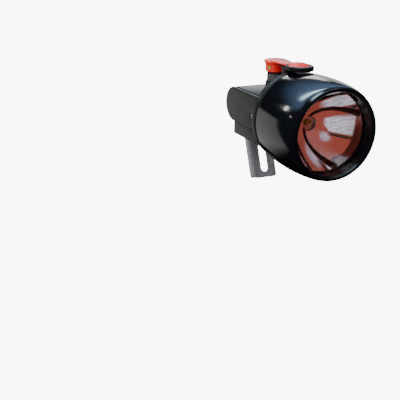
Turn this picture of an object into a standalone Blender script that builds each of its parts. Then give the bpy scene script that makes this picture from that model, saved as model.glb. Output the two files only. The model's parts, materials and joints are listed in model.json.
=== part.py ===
"""Cordless miner's cap lamp: a reflector lamp head, a crosswise battery case and a helmet clip.

The lamp faces -Y with +Z up. The origin is on the rear face of the steel clip, where a helmet
bracket rests. Sizes are written in millimetres and turned to metres by MM.
"""

import math

import bmesh
import bpy
from mathutils import Matrix, Vector

MM = 0.001
GAP = 0.3  # clearance between pieces that sit against each other

# Lamp head, measured back along the optical axis from a datum plane just behind the lens.
LENS_AHEAD = 5.0  # from the datum plane forward to the seat of the lens
LENS_RADIUS = 28.2
LENS_THICKNESS = 3.0
LENS_SEAT = 1.9  # how far the lens reaches under the bezel's inner flange
SIGHT_RADIUS = LENS_RADIUS - LENS_SEAT
LIP_RADIUS = SIGHT_RADIUS + 1.0
LIP_FORWARD = 11.7
NOSE_WALL = 3.3
NOSE_RADIUS = SIGHT_RADIUS + NOSE_WALL
NOSE_FORWARD = 12.2
HOUSING_RADIUS = LENS_RADIUS + 1.0
HOUSING_WALL = 2.8
HOUSING_BORE = HOUSING_RADIUS - HOUSING_WALL
BEZEL_WALL = 2.3
BEZEL_REAR_RADIUS = HOUSING_RADIUS + GAP + BEZEL_WALL
BEZEL_SWELL = 1.2  # how much the barrel widens ahead of its rear edge
BEZEL_RADIUS = BEZEL_REAR_RADIUS + BEZEL_SWELL
BEZEL_WIDEST_BACK = 13.5
BEZEL_LENGTH_BACK = 36.3
COLLAR_RADIUS = HOUSING_RADIUS + 1.4
HEAD_BACK = 46.0
HEAD_WALL = 3.0
REFLECTOR_DEPTH = 17.1
REFLECTOR_WALL = 1.0
LED_HOLE = 4.2
LED_BOARD_RADIUS = 10.0
SINK_THICKNESS = 4.5

# Battery case, a D section extruded across the lamp.
CASE_HALF_WIDTH = 24.3
CASE_TOP = 13.9
CASE_RADIUS = 12.2
CASE_ROUND_BACK = 86.0
CASE_WALL = 2.0
CASE_BOTTOM = CASE_TOP - 2 * CASE_RADIUS
CASE_MIDDLE = CASE_TOP - CASE_RADIUS
CAP_THICKNESS = 2.1
GASKET = 1.0
CASE_HALF_LENGTH = CASE_HALF_WIDTH - CAP_THICKNESS - 2 * GAP - GASKET
CELL_RADIUS = 8.25
CELL_LENGTH = 34.0
CELL_START = 3.6 - CASE_HALF_LENGTH
CELL_RISE = CASE_MIDDLE - 0.5
SCREW_BACK = 57.7
SCREW_RISE = CASE_MIDDLE - 2.9
SCREW_HEAD_SINK = 1.2

# Mounting block and helmet clip under the case.
BLOCK_HALF_WIDTH = CASE_HALF_WIDTH - 1.4
BLOCK_DEPTH = 9.0
BLOCK_TOP = CASE_BOTTOM - GAP
BLOCK_BOTTOM = BLOCK_TOP - BLOCK_DEPTH
BLOCK_BACK = CASE_ROUND_BACK + 1.0
CLIP_HALF_WIDTH = 9.6
CLIP_THICKNESS = 1.5
CLIP_ABOVE = 14.2  # the clip's reach above and below the origin, along its own length
CLIP_BELOW = 31.3
CLIP_FLANGE = 5.0
CLIP_FLANGE_TOP = CLIP_ABOVE - 9.5
CLIP_CORNER = 3.5
CLIP_STANDOFF = 4.3  # how far behind the block's lower rear edge the clip passes
CLIP_LEAN = math.radians(22.0)
SLOT_WIDTH = 6.0
SLOT_LENGTH = 20.8
SLOT_BOTTOM = 4.1 - CLIP_BELOW
SCREW_INTO_LUG = 5.0

# Selector on top of the case: boss, column and turning lever.
TURRET_BACK = 69.0
SHAFT_RADIUS = 2.4
BOSS_TOP = CASE_TOP + 6.1
BOSS_HALF_WIDTH = SHAFT_RADIUS + 4.6  # room for the switch round the shaft
BOSS_WALL = 1.1
BOSS_BACK = TURRET_BACK + BOSS_HALF_WIDTH
COLUMN_RADIUS = 6.1
COLUMN_TOP = BOSS_TOP + 5.2
KNOB_RADIUS = 7.4
KNOB_LIP_RADIUS = 8.4
PAD_BACK = 35.5
PAD_RADIUS = 9.0
PAD_CLEARANCE = 0.34
LEVER_THICKNESS = 3.2
BAR_THICKNESS = 1.0
TONGUE_THICKNESS = 0.8
INLAY_BACK = PAD_BACK + 2.5
INLAY_RADIUS = PAD_RADIUS - 1.8
INLAY_SINK = 1.6
SHAFT_GROOVE_RADIUS = SHAFT_RADIUS - 0.8
CONTACT_RADIUS = 1.45
CONTACT_TURN = math.radians(21.0)  # how far forward of square each contact faces

# Where the optical axis lies, seen from the clip's mounting face, which leans with the helmet.
AXIS_HEIGHT = 25.0
CLIP_FRONT_BACK = BLOCK_BACK + CLIP_STANDOFF - (BLOCK_BOTTOM + AXIS_HEIGHT) * math.tan(CLIP_LEAN)
DATUM_FORWARD = CLIP_FRONT_BACK + CLIP_THICKNESS / math.cos(CLIP_LEAN)

ROUND = 48
SMALL_ROUND = 24

COLOURS = {
    "bezel_gloss_black": ((0.012, 0.014, 0.018), 0.12, 0.0),
    "case_charcoal": ((0.045, 0.047, 0.045), 0.45, 0.0),
    "boss_black": ((0.015, 0.015, 0.016), 0.5, 0.0),
    "column_grey": ((0.16, 0.16, 0.16), 0.5, 0.0),
    "switch_red": ((0.75, 0.06, 0.04), 0.3, 0.0),
    "rubber_black": ((0.02, 0.02, 0.02), 0.8, 0.0),
    "clear_lens": ((0.9, 0.93, 0.95), 0.03, 0.0),
    "mirror": ((0.9, 0.9, 0.9), 0.05, 1.0),
    "steel": ((0.5, 0.5, 0.5), 0.35, 1.0),
    "brass": ((0.7, 0.5, 0.2), 0.3, 1.0),
    "aluminium": ((0.75, 0.76, 0.78), 0.4, 1.0),
    "board_green": ((0.02, 0.16, 0.07), 0.5, 0.0),
    "chip_black": ((0.02, 0.02, 0.02), 0.5, 0.0),
    "phosphor": ((0.9, 0.75, 0.2), 0.5, 0.0),
    "silicone": ((0.9, 0.9, 0.85), 0.1, 0.0),
    "cell_blue": ((0.03, 0.12, 0.35), 0.4, 0.0),
    "foam_grey": ((0.2, 0.2, 0.2), 0.9, 0.0),
    "wire_red": ((0.6, 0.03, 0.03), 0.5, 0.0),
    "wire_black": ((0.02, 0.02, 0.02), 0.5, 0.0),
}


def place(x, back, rise):
    """A point in metres from its place across, back from the datum plane, and above the optical axis."""
    return Vector((x, back - DATUM_FORWARD, rise + AXIS_HEIGHT)) * MM


def clear_scene():
    for obj in list(bpy.data.objects):
        bpy.data.objects.remove(obj, do_unlink=True)


def new_collection(name):
    collection = bpy.data.collections.new(name)
    bpy.context.scene.collection.children.link(collection)
    return collection


def material(name):
    found = bpy.data.materials.get(name)
    if found:
        return found
    colour, roughness, metallic = COLOURS[name]
    made = bpy.data.materials.new(name)
    made.use_nodes = True
    shader = made.node_tree.nodes["Principled BSDF"]
    shader.inputs["Base Color"].default_value = (*colour, 1.0)
    shader.inputs["Roughness"].default_value = roughness
    shader.inputs["Metallic"].default_value = metallic
    return made


def node(name, mesh, slot, at=Vector((0, 0, 0)), rotation=(0, 0, 0)):
    """A named piece of the lamp from a mesh, in its own material."""
    obj = bpy.data.objects.new(name, mesh)
    obj.location = at
    obj.rotation_euler = rotation
    LAMP.objects.link(obj)
    if slot:
        mesh.materials.append(material(slot))
    return obj


def mesh_of(bm, name):
    bmesh.ops.recalc_face_normals(bm, faces=bm.faces)
    mesh = bpy.data.meshes.new(name)
    bm.to_mesh(mesh)
    bm.free()
    return mesh


def smooth(obj, angle=35):
    obj.data.shade_smooth()
    obj.data.set_sharp_from_angle(angle=math.radians(angle))
    return obj


def as_cutter(obj):
    LAMP.objects.unlink(obj)
    CUTTERS.objects.link(obj)
    obj.hide_render = True
    obj.display_type = "WIRE"
    return obj


def cut(obj, cutter, operation="DIFFERENCE"):
    modifier = obj.modifiers.new(operation.title(), "BOOLEAN")
    modifier.operation = operation
    modifier.solver = "EXACT"
    modifier.object = as_cutter(cutter)
    return obj


def soften(obj, width, segments=2, angle=40):
    modifier = obj.modifiers.new("Edges", "BEVEL")
    modifier.width = width * MM
    modifier.segments = segments
    modifier.limit_method = "ANGLE"
    modifier.angle_limit = math.radians(angle)
    return obj


# Turning rotations: a lathe's own +Z becomes forward (-Y), across (-X) or stays up.
FORWARD = (math.radians(90), 0, 0)
LEFTWARD = (0, math.radians(-90), 0)
RIGHTWARD = (0, math.radians(90), 0)
UPRIGHT = (0, 0, 0)


def lathe(name, profile, slot, at, rotation=UPRIGHT, steps=SMALL_ROUND, ring=True):
    """A turned piece. The profile lists (radius, height) down the outer side, then up the inner one."""
    bm = bmesh.new()
    points = [bm.verts.new((radius * MM, 0, height * MM)) for radius, height in profile]
    for first, second in zip(points, points[1:]):
        bm.edges.new((first, second))
    if ring:
        bm.edges.new((points[-1], points[0]))
    mesh = bpy.data.meshes.new(name)
    bm.to_mesh(mesh)
    bm.free()
    obj = node(name, mesh, slot, at, rotation)
    screw = obj.modifiers.new("Turn", "SCREW")
    screw.steps = steps
    screw.render_steps = steps
    screw.use_merge_vertices = True
    screw.merge_threshold = 0.00005
    screw.use_smooth_shade = True
    return obj


def rod(name, radius, low, high, slot, at, rotation=UPRIGHT, steps=SMALL_ROUND):
    profile = [(0, high), (radius, high), (radius, low), (0, low)]
    return lathe(name, profile, slot, at, rotation, steps, ring=False)


def stepped_hole(name, narrow, wide, narrow_end, step, wide_end, at, rotation):
    """A cutter for a screw's way through and the wider seat for its head."""
    profile = [
        (0, narrow_end), (narrow, narrow_end), (narrow, step),
        (wide, step), (wide, wide_end), (0, wide_end),
    ]
    if narrow_end < wide_end:
        profile.reverse()
    return lathe(name, profile, None, at, rotation, 20, ring=False)


def tube_ring(name, outer, inner, low, high, slot, at, rotation=UPRIGHT, steps=SMALL_ROUND):
    profile = [(outer, high), (outer, low), (inner, low), (inner, high)]
    return lathe(name, profile, slot, at, rotation, steps)


def round_ring(name, radius, thickness, height, slot, at, rotation=UPRIGHT, steps=32):
    """A ring of round section, such as an O-ring."""
    turns = [math.radians(90 - 45 * index) for index in range(8)]
    profile = [(radius + thickness * math.cos(a), height + thickness * math.sin(a)) for a in turns]
    return lathe(name, profile, slot, at, rotation, steps)


def block(name, low, high, slot, bevel=0.0):
    """A box between two corners given as (across, back, rise)."""
    start = place(*low)
    end = place(*high)
    bm = bmesh.new()
    bmesh.ops.create_cube(bm, size=1.0)
    size = end - start
    bmesh.ops.scale(bm, vec=[abs(side) for side in size], verts=bm.verts)
    obj = node(name, mesh_of(bm, name), slot, (start + end) / 2)
    if bevel:
        soften(obj, bevel)
    return obj


def arc(centre, radius, start, end, steps):
    """Points on a circle between two angles in degrees, in the plane of an outline."""
    turns = [start + (end - start) * index / steps for index in range(steps + 1)]
    return [
        (centre[0] + radius * math.cos(math.radians(t)), centre[1] + radius * math.sin(math.radians(t)))
        for t in turns
    ]


def extruded(name, points, travel, slot):
    """A flat outline pushed along a straight way, all in metres."""
    bm = bmesh.new()
    face = bm.faces.new([bm.verts.new(point) for point in points])
    grown = bmesh.ops.extrude_face_region(bm, geom=[face])
    moved = [item for item in grown["geom"] if isinstance(item, bmesh.types.BMVert)]
    bmesh.ops.translate(bm, verts=moved, vec=travel)
    return node(name, mesh_of(bm, name), slot)


def across(name, outline, low, high, slot):
    """An outline of (back, rise) points extruded across the lamp, from one side to the other."""
    points = [place(low, back, rise) for back, rise in outline]
    return extruded(name, points, ((high - low) * MM, 0, 0), slot)


def upward(name, outline, low, high, slot):
    """An outline of (across, back) points extruded upwards."""
    points = [place(x, back, low) for x, back in outline]
    return extruded(name, points, (0, 0, (high - low) * MM), slot)


def wire(name, points, slot, radius=0.6):
    """An insulated wire through a few points given as (across, back, rise)."""
    return path(name, [place(*point) for point in points], slot, radius)


def path(name, points, slot, radius):
    curve = bpy.data.curves.new(name, "CURVE")
    curve.dimensions = "3D"
    curve.bevel_depth = radius * MM
    curve.bevel_resolution = 2
    curve.use_fill_caps = True
    spline = curve.splines.new("POLY")
    spline.points.add(len(points) - 1)
    for target, point in zip(spline.points, points):
        target.co = (*point, 1.0)
    return node(name, curve, slot)


def coil(name, centre, radius, turns, length, wire_radius, slot):
    """A compression spring lying across the lamp."""
    steps = 14
    points = []
    for index in range(turns * steps + 1):
        share = index / (turns * steps)
        turn = 2 * math.pi * index / steps
        offset = (centre[0] + length * share, radius * math.cos(turn), radius * math.sin(turn))
        points.append(place(offset[0], centre[1] + offset[1], centre[2] + offset[2]))
    return path(name, points, slot, wire_radius)


# ---- Lamp head -------------------------------------------------------------------------------


def bezel_radius_behind_widest(back):
    """The barrel narrows gently from its widest place to its rear edge."""
    share = (back - BEZEL_WIDEST_BACK) / (BEZEL_LENGTH_BACK - BEZEL_WIDEST_BACK)
    return BEZEL_RADIUS - BEZEL_SWELL * share**1.8


def lever_low():
    """The underside of the lever clears the bezel below the front of the thumb pad."""
    nearest = max(PAD_BACK - PAD_RADIUS, BEZEL_WIDEST_BACK)
    return bezel_radius_behind_widest(nearest) + PAD_CLEARANCE


def bezel_outside():
    """Down the bezel's outer side, from its nose to its rear edge, as (radius, forward)."""
    points = []
    for share in (0.995, 0.97, 0.92, 0.84, 0.72, 0.56, 0.36, 0.0):
        fall = (BEZEL_RADIUS - NOSE_RADIUS) * (1 - math.sqrt(1 - share**2))
        forward = -BEZEL_WIDEST_BACK + share * (BEZEL_WIDEST_BACK + NOSE_FORWARD)
        points.append((BEZEL_RADIUS - fall, forward))
    for share in (0.3, 0.6, 0.85, 0.97):
        back = BEZEL_WIDEST_BACK + share * (BEZEL_LENGTH_BACK - BEZEL_WIDEST_BACK)
        points.append((bezel_radius_behind_widest(back), -back))
    points.append((BEZEL_REAR_RADIUS - 0.5, -BEZEL_LENGTH_BACK))
    return points


def build_head(centre):
    lens_face = GAP - LENS_AHEAD
    lens_back = lens_face + LENS_THICKNESS
    gasket_back = lens_back + GAP
    flange_back = gasket_back + 1.2 + GAP
    housing_front = flange_back + 1.0 + GAP
    bore = HOUSING_RADIUS + GAP
    inside = [
        (bore, -BEZEL_LENGTH_BACK),
        (bore, -housing_front + 0.2),
        (LENS_RADIUS + GAP, -housing_front + 0.2),
        (LENS_RADIUS + GAP, LENS_AHEAD),
        (SIGHT_RADIUS, LENS_AHEAD),
        (LIP_RADIUS, LIP_FORWARD - 0.8),
        (LIP_RADIUS + 0.5, LIP_FORWARD),
        (LIP_RADIUS + 1.2, NOSE_FORWARD),
    ]
    smooth(lathe("bezel_ring", bezel_outside() + inside, "bezel_gloss_black", centre, FORWARD, ROUND))
    rod("front_lens", LENS_RADIUS, -lens_back, -lens_face, "clear_lens", centre, FORWARD, 48)
    tube_ring(
        "lens_gasket", LENS_RADIUS, SIGHT_RADIUS, -gasket_back - 1.2, -gasket_back,
        "rubber_black", centre, FORWARD, 48,
    )
    build_reflector(centre, flange_back)
    build_housing(centre, housing_front)
    board_front = flange_back + REFLECTOR_DEPTH + 1.4
    build_light_source(centre, board_front)


def build_reflector(centre, flange_back):
    """A parabolic mirror whose mouth is the sight opening and whose hole takes the LED."""
    mouth = SIGHT_RADIUS - 0.4
    focus = (mouth**2 - LED_HOLE**2) / REFLECTOR_DEPTH
    steps = 12
    radii = [mouth + (LED_HOLE - mouth) * index / steps for index in range(steps + 1)]
    depths = [flange_back + (mouth**2 - radius**2) / focus for radius in radii]
    inner = [(radius, -depth) for radius, depth in zip(radii, depths)]
    outer = []
    for radius, depth in zip(radii[1:], depths[1:]):
        slope = math.atan2(2 * radius, focus)
        outer.append(
            (radius + REFLECTOR_WALL * math.sin(slope), -depth - REFLECTOR_WALL * math.cos(slope))
        )
    flange = [(LENS_RADIUS - 0.2, -flange_back), (LENS_RADIUS - 0.2, -flange_back - 1.0)]
    neck = [(mouth + 0.1, -flange_back - 1.0)]
    profile = flange + neck + outer + list(reversed(inner))
    smooth(lathe("reflector", profile, "mirror", centre, FORWARD, 40))


def build_housing(centre, front):
    """The cup that the bezel screws onto, closed at the back by the wall that carries the case."""
    groove = HOUSING_RADIUS - 1.5
    step = BEZEL_LENGTH_BACK + GAP
    outside = [
        (HOUSING_RADIUS - 0.4, -front),
        (HOUSING_RADIUS, -front - 0.4),
        (HOUSING_RADIUS, -31.4),
        (groove, -31.4),
        (groove, -34.2),
        (HOUSING_RADIUS, -34.2),
        (HOUSING_RADIUS, -step),
        (COLLAR_RADIUS, -step),
        (COLLAR_RADIUS, -39.0),
        (COLLAR_RADIUS - 0.9, -39.5),
        (COLLAR_RADIUS - 0.9, -40.5),
        (COLLAR_RADIUS, -41.0),
        (COLLAR_RADIUS, -HEAD_BACK + 1.4),
        (COLLAR_RADIUS - 0.9, -HEAD_BACK),
        (0, -HEAD_BACK),
    ]
    inner_back = HEAD_BACK - HEAD_WALL
    inside = [(0, -inner_back), (HOUSING_BORE, -inner_back), (HOUSING_BORE, -front)]
    housing = lathe(
        "head_housing", inside + outside, "case_charcoal", centre, FORWARD, ROUND, ring=False,
    )
    low = -HEAD_BACK - 2
    high = -inner_back + 2
    for x, rise in case_screw_places():
        cut(housing, rod("head_screw_hole", 1.6, low, high, None, place(x, 0, rise), FORWARD))
    for x in (-6.0, 6.0):
        cut(housing, rod("head_wire_hole", 1.8, low, high, None, place(x, 0, 0), FORWARD))
    smooth(housing)
    round_ring("bezel_oring", groove + 1.0, 0.65, -32.8, "rubber_black", centre, FORWARD)


def case_screw_places():
    middle = CASE_MIDDLE
    return [(x, rise) for x in (-15.0, 15.0) for rise in (middle - 6.7, middle + 6.7)]


def build_light_source(centre, board_front):
    board_back = board_front + 1.6
    sink_front = board_back + GAP
    board = rod(
        "led_board", LED_BOARD_RADIUS, -board_back, -board_front, "aluminium", centre, FORWARD, 32,
    )
    rod("led_package", 2.4, -board_front + GAP, -board_front + 1.0, "phosphor", centre, FORWARD, 16)
    dome = arc((0, -board_front + 1.0 + GAP), 1.8, 90, 0, 5)
    dome = [(max(radius, 0), height) for radius, height in dome] + [(0, dome[-1][1])]
    lathe("led_dome", dome, "silicone", centre, FORWARD, 16, ring=False)
    sink = rod(
        "heat_sink", HOUSING_BORE - GAP, -sink_front - SINK_THICKNESS, -sink_front,
        "aluminium", centre, FORWARD, 48,
    )
    for side, label, colour in ((-1, "positive", "wire_red"), (1, "negative", "wire_black")):
        feed = place(side * 6.0, 0, 0)
        cut(sink, rod("sink_wire_hole", 1.4, -sink_front - 9, -sink_front + 3, None, feed, FORWARD))
        reach = [(side * 6.0, board_back + 0.2, 0), (side * 6.0, driver_front() - 0.3, 0)]
        wire(f"led_wire_{label}", reach, colour)
    for side, label in ((-1, "lower"), (1, "upper")):
        where = place(0, 0, side * 8.0)
        low = -sink_front - 3.2
        cut(sink, rod("sink_screw_hole", 1.1, low, -sink_front + 3, None, where, FORWARD, 16))
        low = -board_back - 3
        cut(board, rod("board_screw_hole", 1.1, low, -board_front + 3, None, where, FORWARD, 16))
        screw = [
            (0, -board_front + 0.9), (1.35, -board_front + 0.9), (1.35, -board_front + GAP),
            (0.8, -board_front + GAP), (0.8, -sink_front - 2.8), (0, -sink_front - 2.8),
        ]
        lathe(f"led_board_screw_{label}", screw, "steel", where, FORWARD, 16, ring=False)


# ---- Battery case ----------------------------------------------------------------------------


def case_front():
    """The case starts behind the gasket that seals it to the lamp head."""
    return HEAD_BACK + 2 * GAP + GASKET


def driver_front():
    return case_front() + 4.8


def case_outline(front, inset):
    """The D section: flat front, top and bottom, and a half-round back."""
    radius = CASE_RADIUS - inset
    back = arc((CASE_ROUND_BACK, CASE_MIDDLE), radius, 90, -90, 16)
    return [(front + inset, CASE_MIDDLE + radius), *back, (front + inset, CASE_MIDDLE - radius)]


def build_case():
    front = case_front()
    half = CASE_HALF_LENGTH
    case = across("battery_case", case_outline(front, 0), -half, half, "case_charcoal")
    cut(case, across("case_cavity", case_outline(front, CASE_WALL), -half - 5, half + 5, None))
    screw_line = place(0, SCREW_BACK, SCREW_RISE)
    boss = rod("cap_screw_boss", 2.3, -half + 0.4, half - 0.4, None, screw_line, RIGHTWARD)
    cut(case, boss, "UNION")
    web = block(
        "boss_web", (-half + 0.6, SCREW_BACK - 0.8, CASE_BOTTOM + 0.5),
        (half - 0.6, SCREW_BACK + 0.8, SCREW_RISE - 1.0), None,
    )
    cut(case, web, "UNION")
    for x, rise in case_screw_places():
        hole = rod("case_screw_hole", 1.6, -front - 5, -front + 3, None, place(x, 0, rise), FORWARD)
        cut(case, hole)
    for x in (-6.0, 6.0):
        hole = rod("case_wire_hole", 1.8, -front - 5, -front + 3, None, place(x, 0, 0), FORWARD)
        cut(case, hole)
        above = place(x / 2, 56.0, 0)
        cut(case, rod("switch_wire_hole", 1.2, CASE_TOP - 4, CASE_TOP + 2, None, above))
    for side in (-1, 1):
        cut(case, rod("cap_screw_pilot", 1.5, half - 6, half + 3, None, screw_line, turned(side)))
    smooth(case)
    build_case_gasket(front - GAP)
    for side, label in ((-1, "left"), (1, "right")):
        build_end(side, label, half)
    build_case_screws(front + CASE_WALL + GAP)


def turned(side):
    return RIGHTWARD if side > 0 else LEFTWARD


def build_case_screws(head):
    """Four screws from inside the case into the lamp head's rear wall."""
    tip = HEAD_BACK - HEAD_WALL + 0.4
    for index, (x, rise) in enumerate(case_screw_places(), 1):
        screw = [(0, -tip), (1.25, -tip), (1.25, -head), (2.6, -head), (2.6, -head - 1.6), (0, -head - 1.6)]
        lathe(f"case_screw_{index}", screw, "steel", place(x, 0, rise), FORWARD, 16, ring=False)


def build_case_gasket(back):
    """The flat gasket between the lamp head and the case, a rectangle with a rectangular hole."""
    front = back - GASKET
    height = CASE_RADIUS - 0.8
    low = (-19.5, front, CASE_MIDDLE - height)
    gasket = block("case_gasket", low, (19.5, back, CASE_MIDDLE + height), "rubber_black")
    low = (-18.0, front - 2, CASE_MIDDLE - height + 1.5)
    cut(gasket, block("gasket_window", low, (18.0, back + 2, CASE_MIDDLE + height - 1.5), None))


def build_end(side, label, half):
    """One end of the case: gasket, flat end cap and its recessed screw."""
    front = case_front()
    low = side * (half + GAP)
    high = side * (half + GAP + GASKET)
    outline = case_outline(front, 0.35)
    gasket = across(f"end_gasket_{label}", outline, low, high, "rubber_black")
    window = case_outline(front, CASE_WALL)
    cut(gasket, across("end_gasket_hole", window, low - side * 3, high + side * 3, None))
    inner = half + 2 * GAP + GASKET
    outline = case_outline(HEAD_BACK + GAP, 0)
    cap = across(f"end_cap_{label}", outline, side * inner, side * CASE_HALF_WIDTH, "case_charcoal")
    where = place(0, SCREW_BACK, SCREW_RISE)
    soften(cap, 0.6, 2, 60)
    seat = CASE_HALF_WIDTH - SCREW_HEAD_SINK
    way = stepped_hole("cap_screw_way", 1.5, 2.3, inner - 3, seat, seat + 5, where, turned(side))
    cut(cap, way)
    smooth(cap)
    head = seat + GAP
    tip = half - 5
    screw = [(0, head + 0.7), (1.9, head + 0.7), (1.9, head), (1.1, head), (1.1, tip), (0, tip)]
    lathe(f"cap_screw_{label}", screw, "steel", where, turned(side), 16, ring=False)


def cell_backs():
    """The two cells fill the case from its round back forwards."""
    rear = CASE_ROUND_BACK + CASE_RADIUS - CASE_WALL - 0.75 - CELL_RADIUS
    return rear - 2 * CELL_RADIUS - GAP, rear


def build_cells():
    """Two cells side by side between a plate at each end, on a foam pad."""
    half = CELL_LENGTH / 2
    middle = CELL_START + half
    rise = CELL_RISE
    front_cell, rear_cell = cell_backs()
    plate = CASE_HALF_LENGTH - 0.6
    for label, back in (("front", front_cell), ("rear", rear_cell)):
        can = [
            (0, half), (2.6, half), (2.6, half - 0.8), (CELL_RADIUS, half - 0.8),
            (CELL_RADIUS, -half), (0, -half),
        ]
        lathe(f"cell_{label}", can, "cell_blue", place(middle, back, rise), LEFTWARD, 32, ring=False)
        start = middle + half + 0.8
        length = plate - start - 0.6
        coil(f"contact_spring_{label}", (start, back, rise), 3.0, 2, length, 0.35, "steel")
    for label, low in (("positive", CELL_START - 0.9), ("negative", plate)):
        near = (low, front_cell - 5.4, rise - 4.5)
        block(f"contact_plate_{label}", near, (low + 0.5, rear_cell + 5.3, rise + 4.5), "steel")
    near = (middle - 16.0, front_cell - 5.9, CASE_BOTTOM + CASE_WALL + 0.2)
    far = (middle + 16.0, CASE_ROUND_BACK, rise - CELL_RADIUS - GAP)
    block("cell_pad", near, far, "foam_grey")


def build_driver():
    """The driver board stands across the front of the case, its parts facing the lamp head."""
    front = driver_front()
    back = front + 1.6
    low = (-17.5, front, CASE_BOTTOM + CASE_WALL + 0.7)
    board = block("driver_board", low, (17.5, back, CASE_TOP - CASE_WALL - 1.3), "board_green")
    for side in (-1, 1):
        where = place(side * 14.5, 0, CASE_MIDDLE)
        cut(board, rod("driver_screw_hole", 1.3, -back - 3, -front + 3, None, where, FORWARD, 16))
    low = (-9.0, front - 1.5, CASE_MIDDLE - 7.2)
    block("driver_chip", low, (-4.0, front - GAP, CASE_MIDDLE - 3.2), "chip_black")
    where = place(8.6, 0, CASE_MIDDLE - 4.7)
    rod("driver_inductor", 3.2, -front + GAP, -front + 2.4, "chip_black", where, FORWARD, 20)
    for label, side, colour in (("positive", -1, "wire_red"), ("negative", 1, "wire_black")):
        high = CASE_MIDDLE + 7.1
        out = side * 18.6
        end = cell_backs()[0] - 6.9
        reach = [(side * 16.2, back + 0.9, high), (out, end - 3.5, high), (out, end, high - 1.4)]
        wire(f"cell_wire_{label}", reach, colour, 0.5)
        high = CASE_MIDDLE + 7.7
        x = side * 3.0
        rise = [(x, back + 0.9, high), (x, 56.0, high), (x, 56.0, CASE_TOP + 2.4)]
        wire(f"switch_wire_{label}", rise, colour, 0.45)


# ---- Mounting block and helmet clip ----------------------------------------------------------


def build_mounting():
    """The block under the case, with a lug behind it whose leaning face carries the clip."""
    low = (-BLOCK_HALF_WIDTH, HEAD_BACK + GAP, BLOCK_BOTTOM)
    mount = block("clip_block", low, (BLOCK_HALF_WIDTH, BLOCK_BACK, BLOCK_TOP), "case_charcoal")
    face = [(BLOCK_BACK - 2, BLOCK_TOP), (lug_back(BLOCK_TOP), BLOCK_TOP)]
    face += [(lug_back(BLOCK_BOTTOM), BLOCK_BOTTOM), (BLOCK_BACK - 2, BLOCK_BOTTOM)]
    half = CLIP_HALF_WIDTH - 0.6
    cut(mount, across("clip_lug", face, -half, half, None), "UNION")
    smooth(mount)
    clip = build_clip()
    for side, label in ((-1, "left"), (1, "right")):
        build_clip_screw(mount, clip, side, label)
        build_block_screw(mount, side, label)


def lug_back(rise):
    """How far back the lug reaches at one height, just short of the clip."""
    rear_face = DATUM_FORWARD + (rise + AXIS_HEIGHT) * math.tan(CLIP_LEAN)
    return rear_face - (CLIP_THICKNESS + GAP) / math.cos(CLIP_LEAN)


def leaned(obj):
    """Leans a piece made square to the clip, about the origin in the clip's rear face."""
    obj.rotation_euler = (-CLIP_LEAN, 0, 0)
    return obj


def build_clip_screw(mount, clip, side, label):
    """A screw through the clip into the lug, square to the clip."""
    along = (BLOCK_TOP - 5.4 + AXIS_HEIGHT) / math.cos(CLIP_LEAN)
    where = Matrix.Rotation(-CLIP_LEAN, 4, "X") @ (Vector((side * 5.6, 0, along)) * MM)
    forward = (math.radians(90) - CLIP_LEAN, 0, 0)
    lug = CLIP_THICKNESS + GAP
    pilot = rod("clip_screw_pilot", 1.5, CLIP_THICKNESS, lug + 6.5, None, where, forward, 16)
    cut(mount, pilot)
    cut(clip, rod("clip_screw_hole", 1.5, -3, CLIP_THICKNESS + 3, None, where, forward, 16))
    tip = lug + SCREW_INTO_LUG
    screw = [(0, tip), (1.2, tip), (1.2, -GAP), (2.4, -GAP), (2.2, -GAP - 1.4), (0, -GAP - 1.4)]
    lathe(f"clip_screw_{label}", screw, "steel", where, forward, 16, ring=False)


def build_block_screw(mount, side, label):
    """A screw up through the block into the floor of the case, its head sunk in the block."""
    where = place(side * 15.0, 66.0, 0)
    sink = BLOCK_BOTTOM + 2.4
    way = stepped_hole(
        "block_screw_way", 1.5, 2.8, BLOCK_TOP + 3, sink, BLOCK_BOTTOM - 3, where, UPRIGHT,
    )
    cut(mount, way)
    case = bpy.data.objects["battery_case"]
    cut(case, rod("block_screw_pilot", 1.5, BLOCK_TOP - 1, BLOCK_TOP + 1.6, None, where, UPRIGHT, 16))
    seat = sink - GAP
    tip = BLOCK_TOP + 1.5
    screw = [(0, tip), (1.2, tip), (1.2, seat), (2.4, seat), (2.4, seat - 1.6), (0, seat - 1.6)]
    lathe(f"block_screw_{label}", screw, "steel", where, UPRIGHT, 16, ring=False)


def build_clip():
    """A steel channel: a slotted front plate with its two sides folded back towards the helmet."""
    half = CLIP_HALF_WIDTH
    inner = half - CLIP_THICKNESS
    outline = [
        (-half, -CLIP_THICKNESS), (half, -CLIP_THICKNESS), (half, CLIP_FLANGE), (inner, CLIP_FLANGE),
        (inner, 0), (-inner, 0), (-inner, CLIP_FLANGE), (-half, CLIP_FLANGE),
    ]
    points = [Vector((x, depth, -CLIP_BELOW)) * MM for x, depth in outline]
    clip = leaned(extruded("clip_plate", points, (0, 0, (CLIP_ABOVE + CLIP_BELOW) * MM), "steel"))
    out = half + 2
    top = [(-out, CLIP_FLANGE_TOP), (out, CLIP_FLANGE_TOP), (out, CLIP_ABOVE + 3), (-out, CLIP_ABOVE + 3)]
    cut(clip, clip_cutter(top, 0, CLIP_FLANGE + 2))
    for side in (-1, 1):
        cut(clip, clip_cutter(corner_outline(side), -CLIP_THICKNESS - 3, CLIP_FLANGE + 3))
    radius = SLOT_WIDTH / 2
    slot = arc((0, SLOT_BOTTOM + radius), radius, 180, 360, 12)
    slot += arc((0, SLOT_BOTTOM + SLOT_LENGTH - radius), radius, 0, 180, 12)
    cut(clip, clip_cutter(slot, -CLIP_THICKNESS - 3, 3))
    soften(clip, 0.25, 1, 50)
    return smooth(clip)


def clip_cutter(outline, low, high):
    """An outline of (across, along) points on the clip, extruded through it."""
    points = [Vector((x, low, along)) * MM for x, along in outline]
    return leaned(extruded("clip_cut", points, (0, (high - low) * MM, 0), None))


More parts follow.
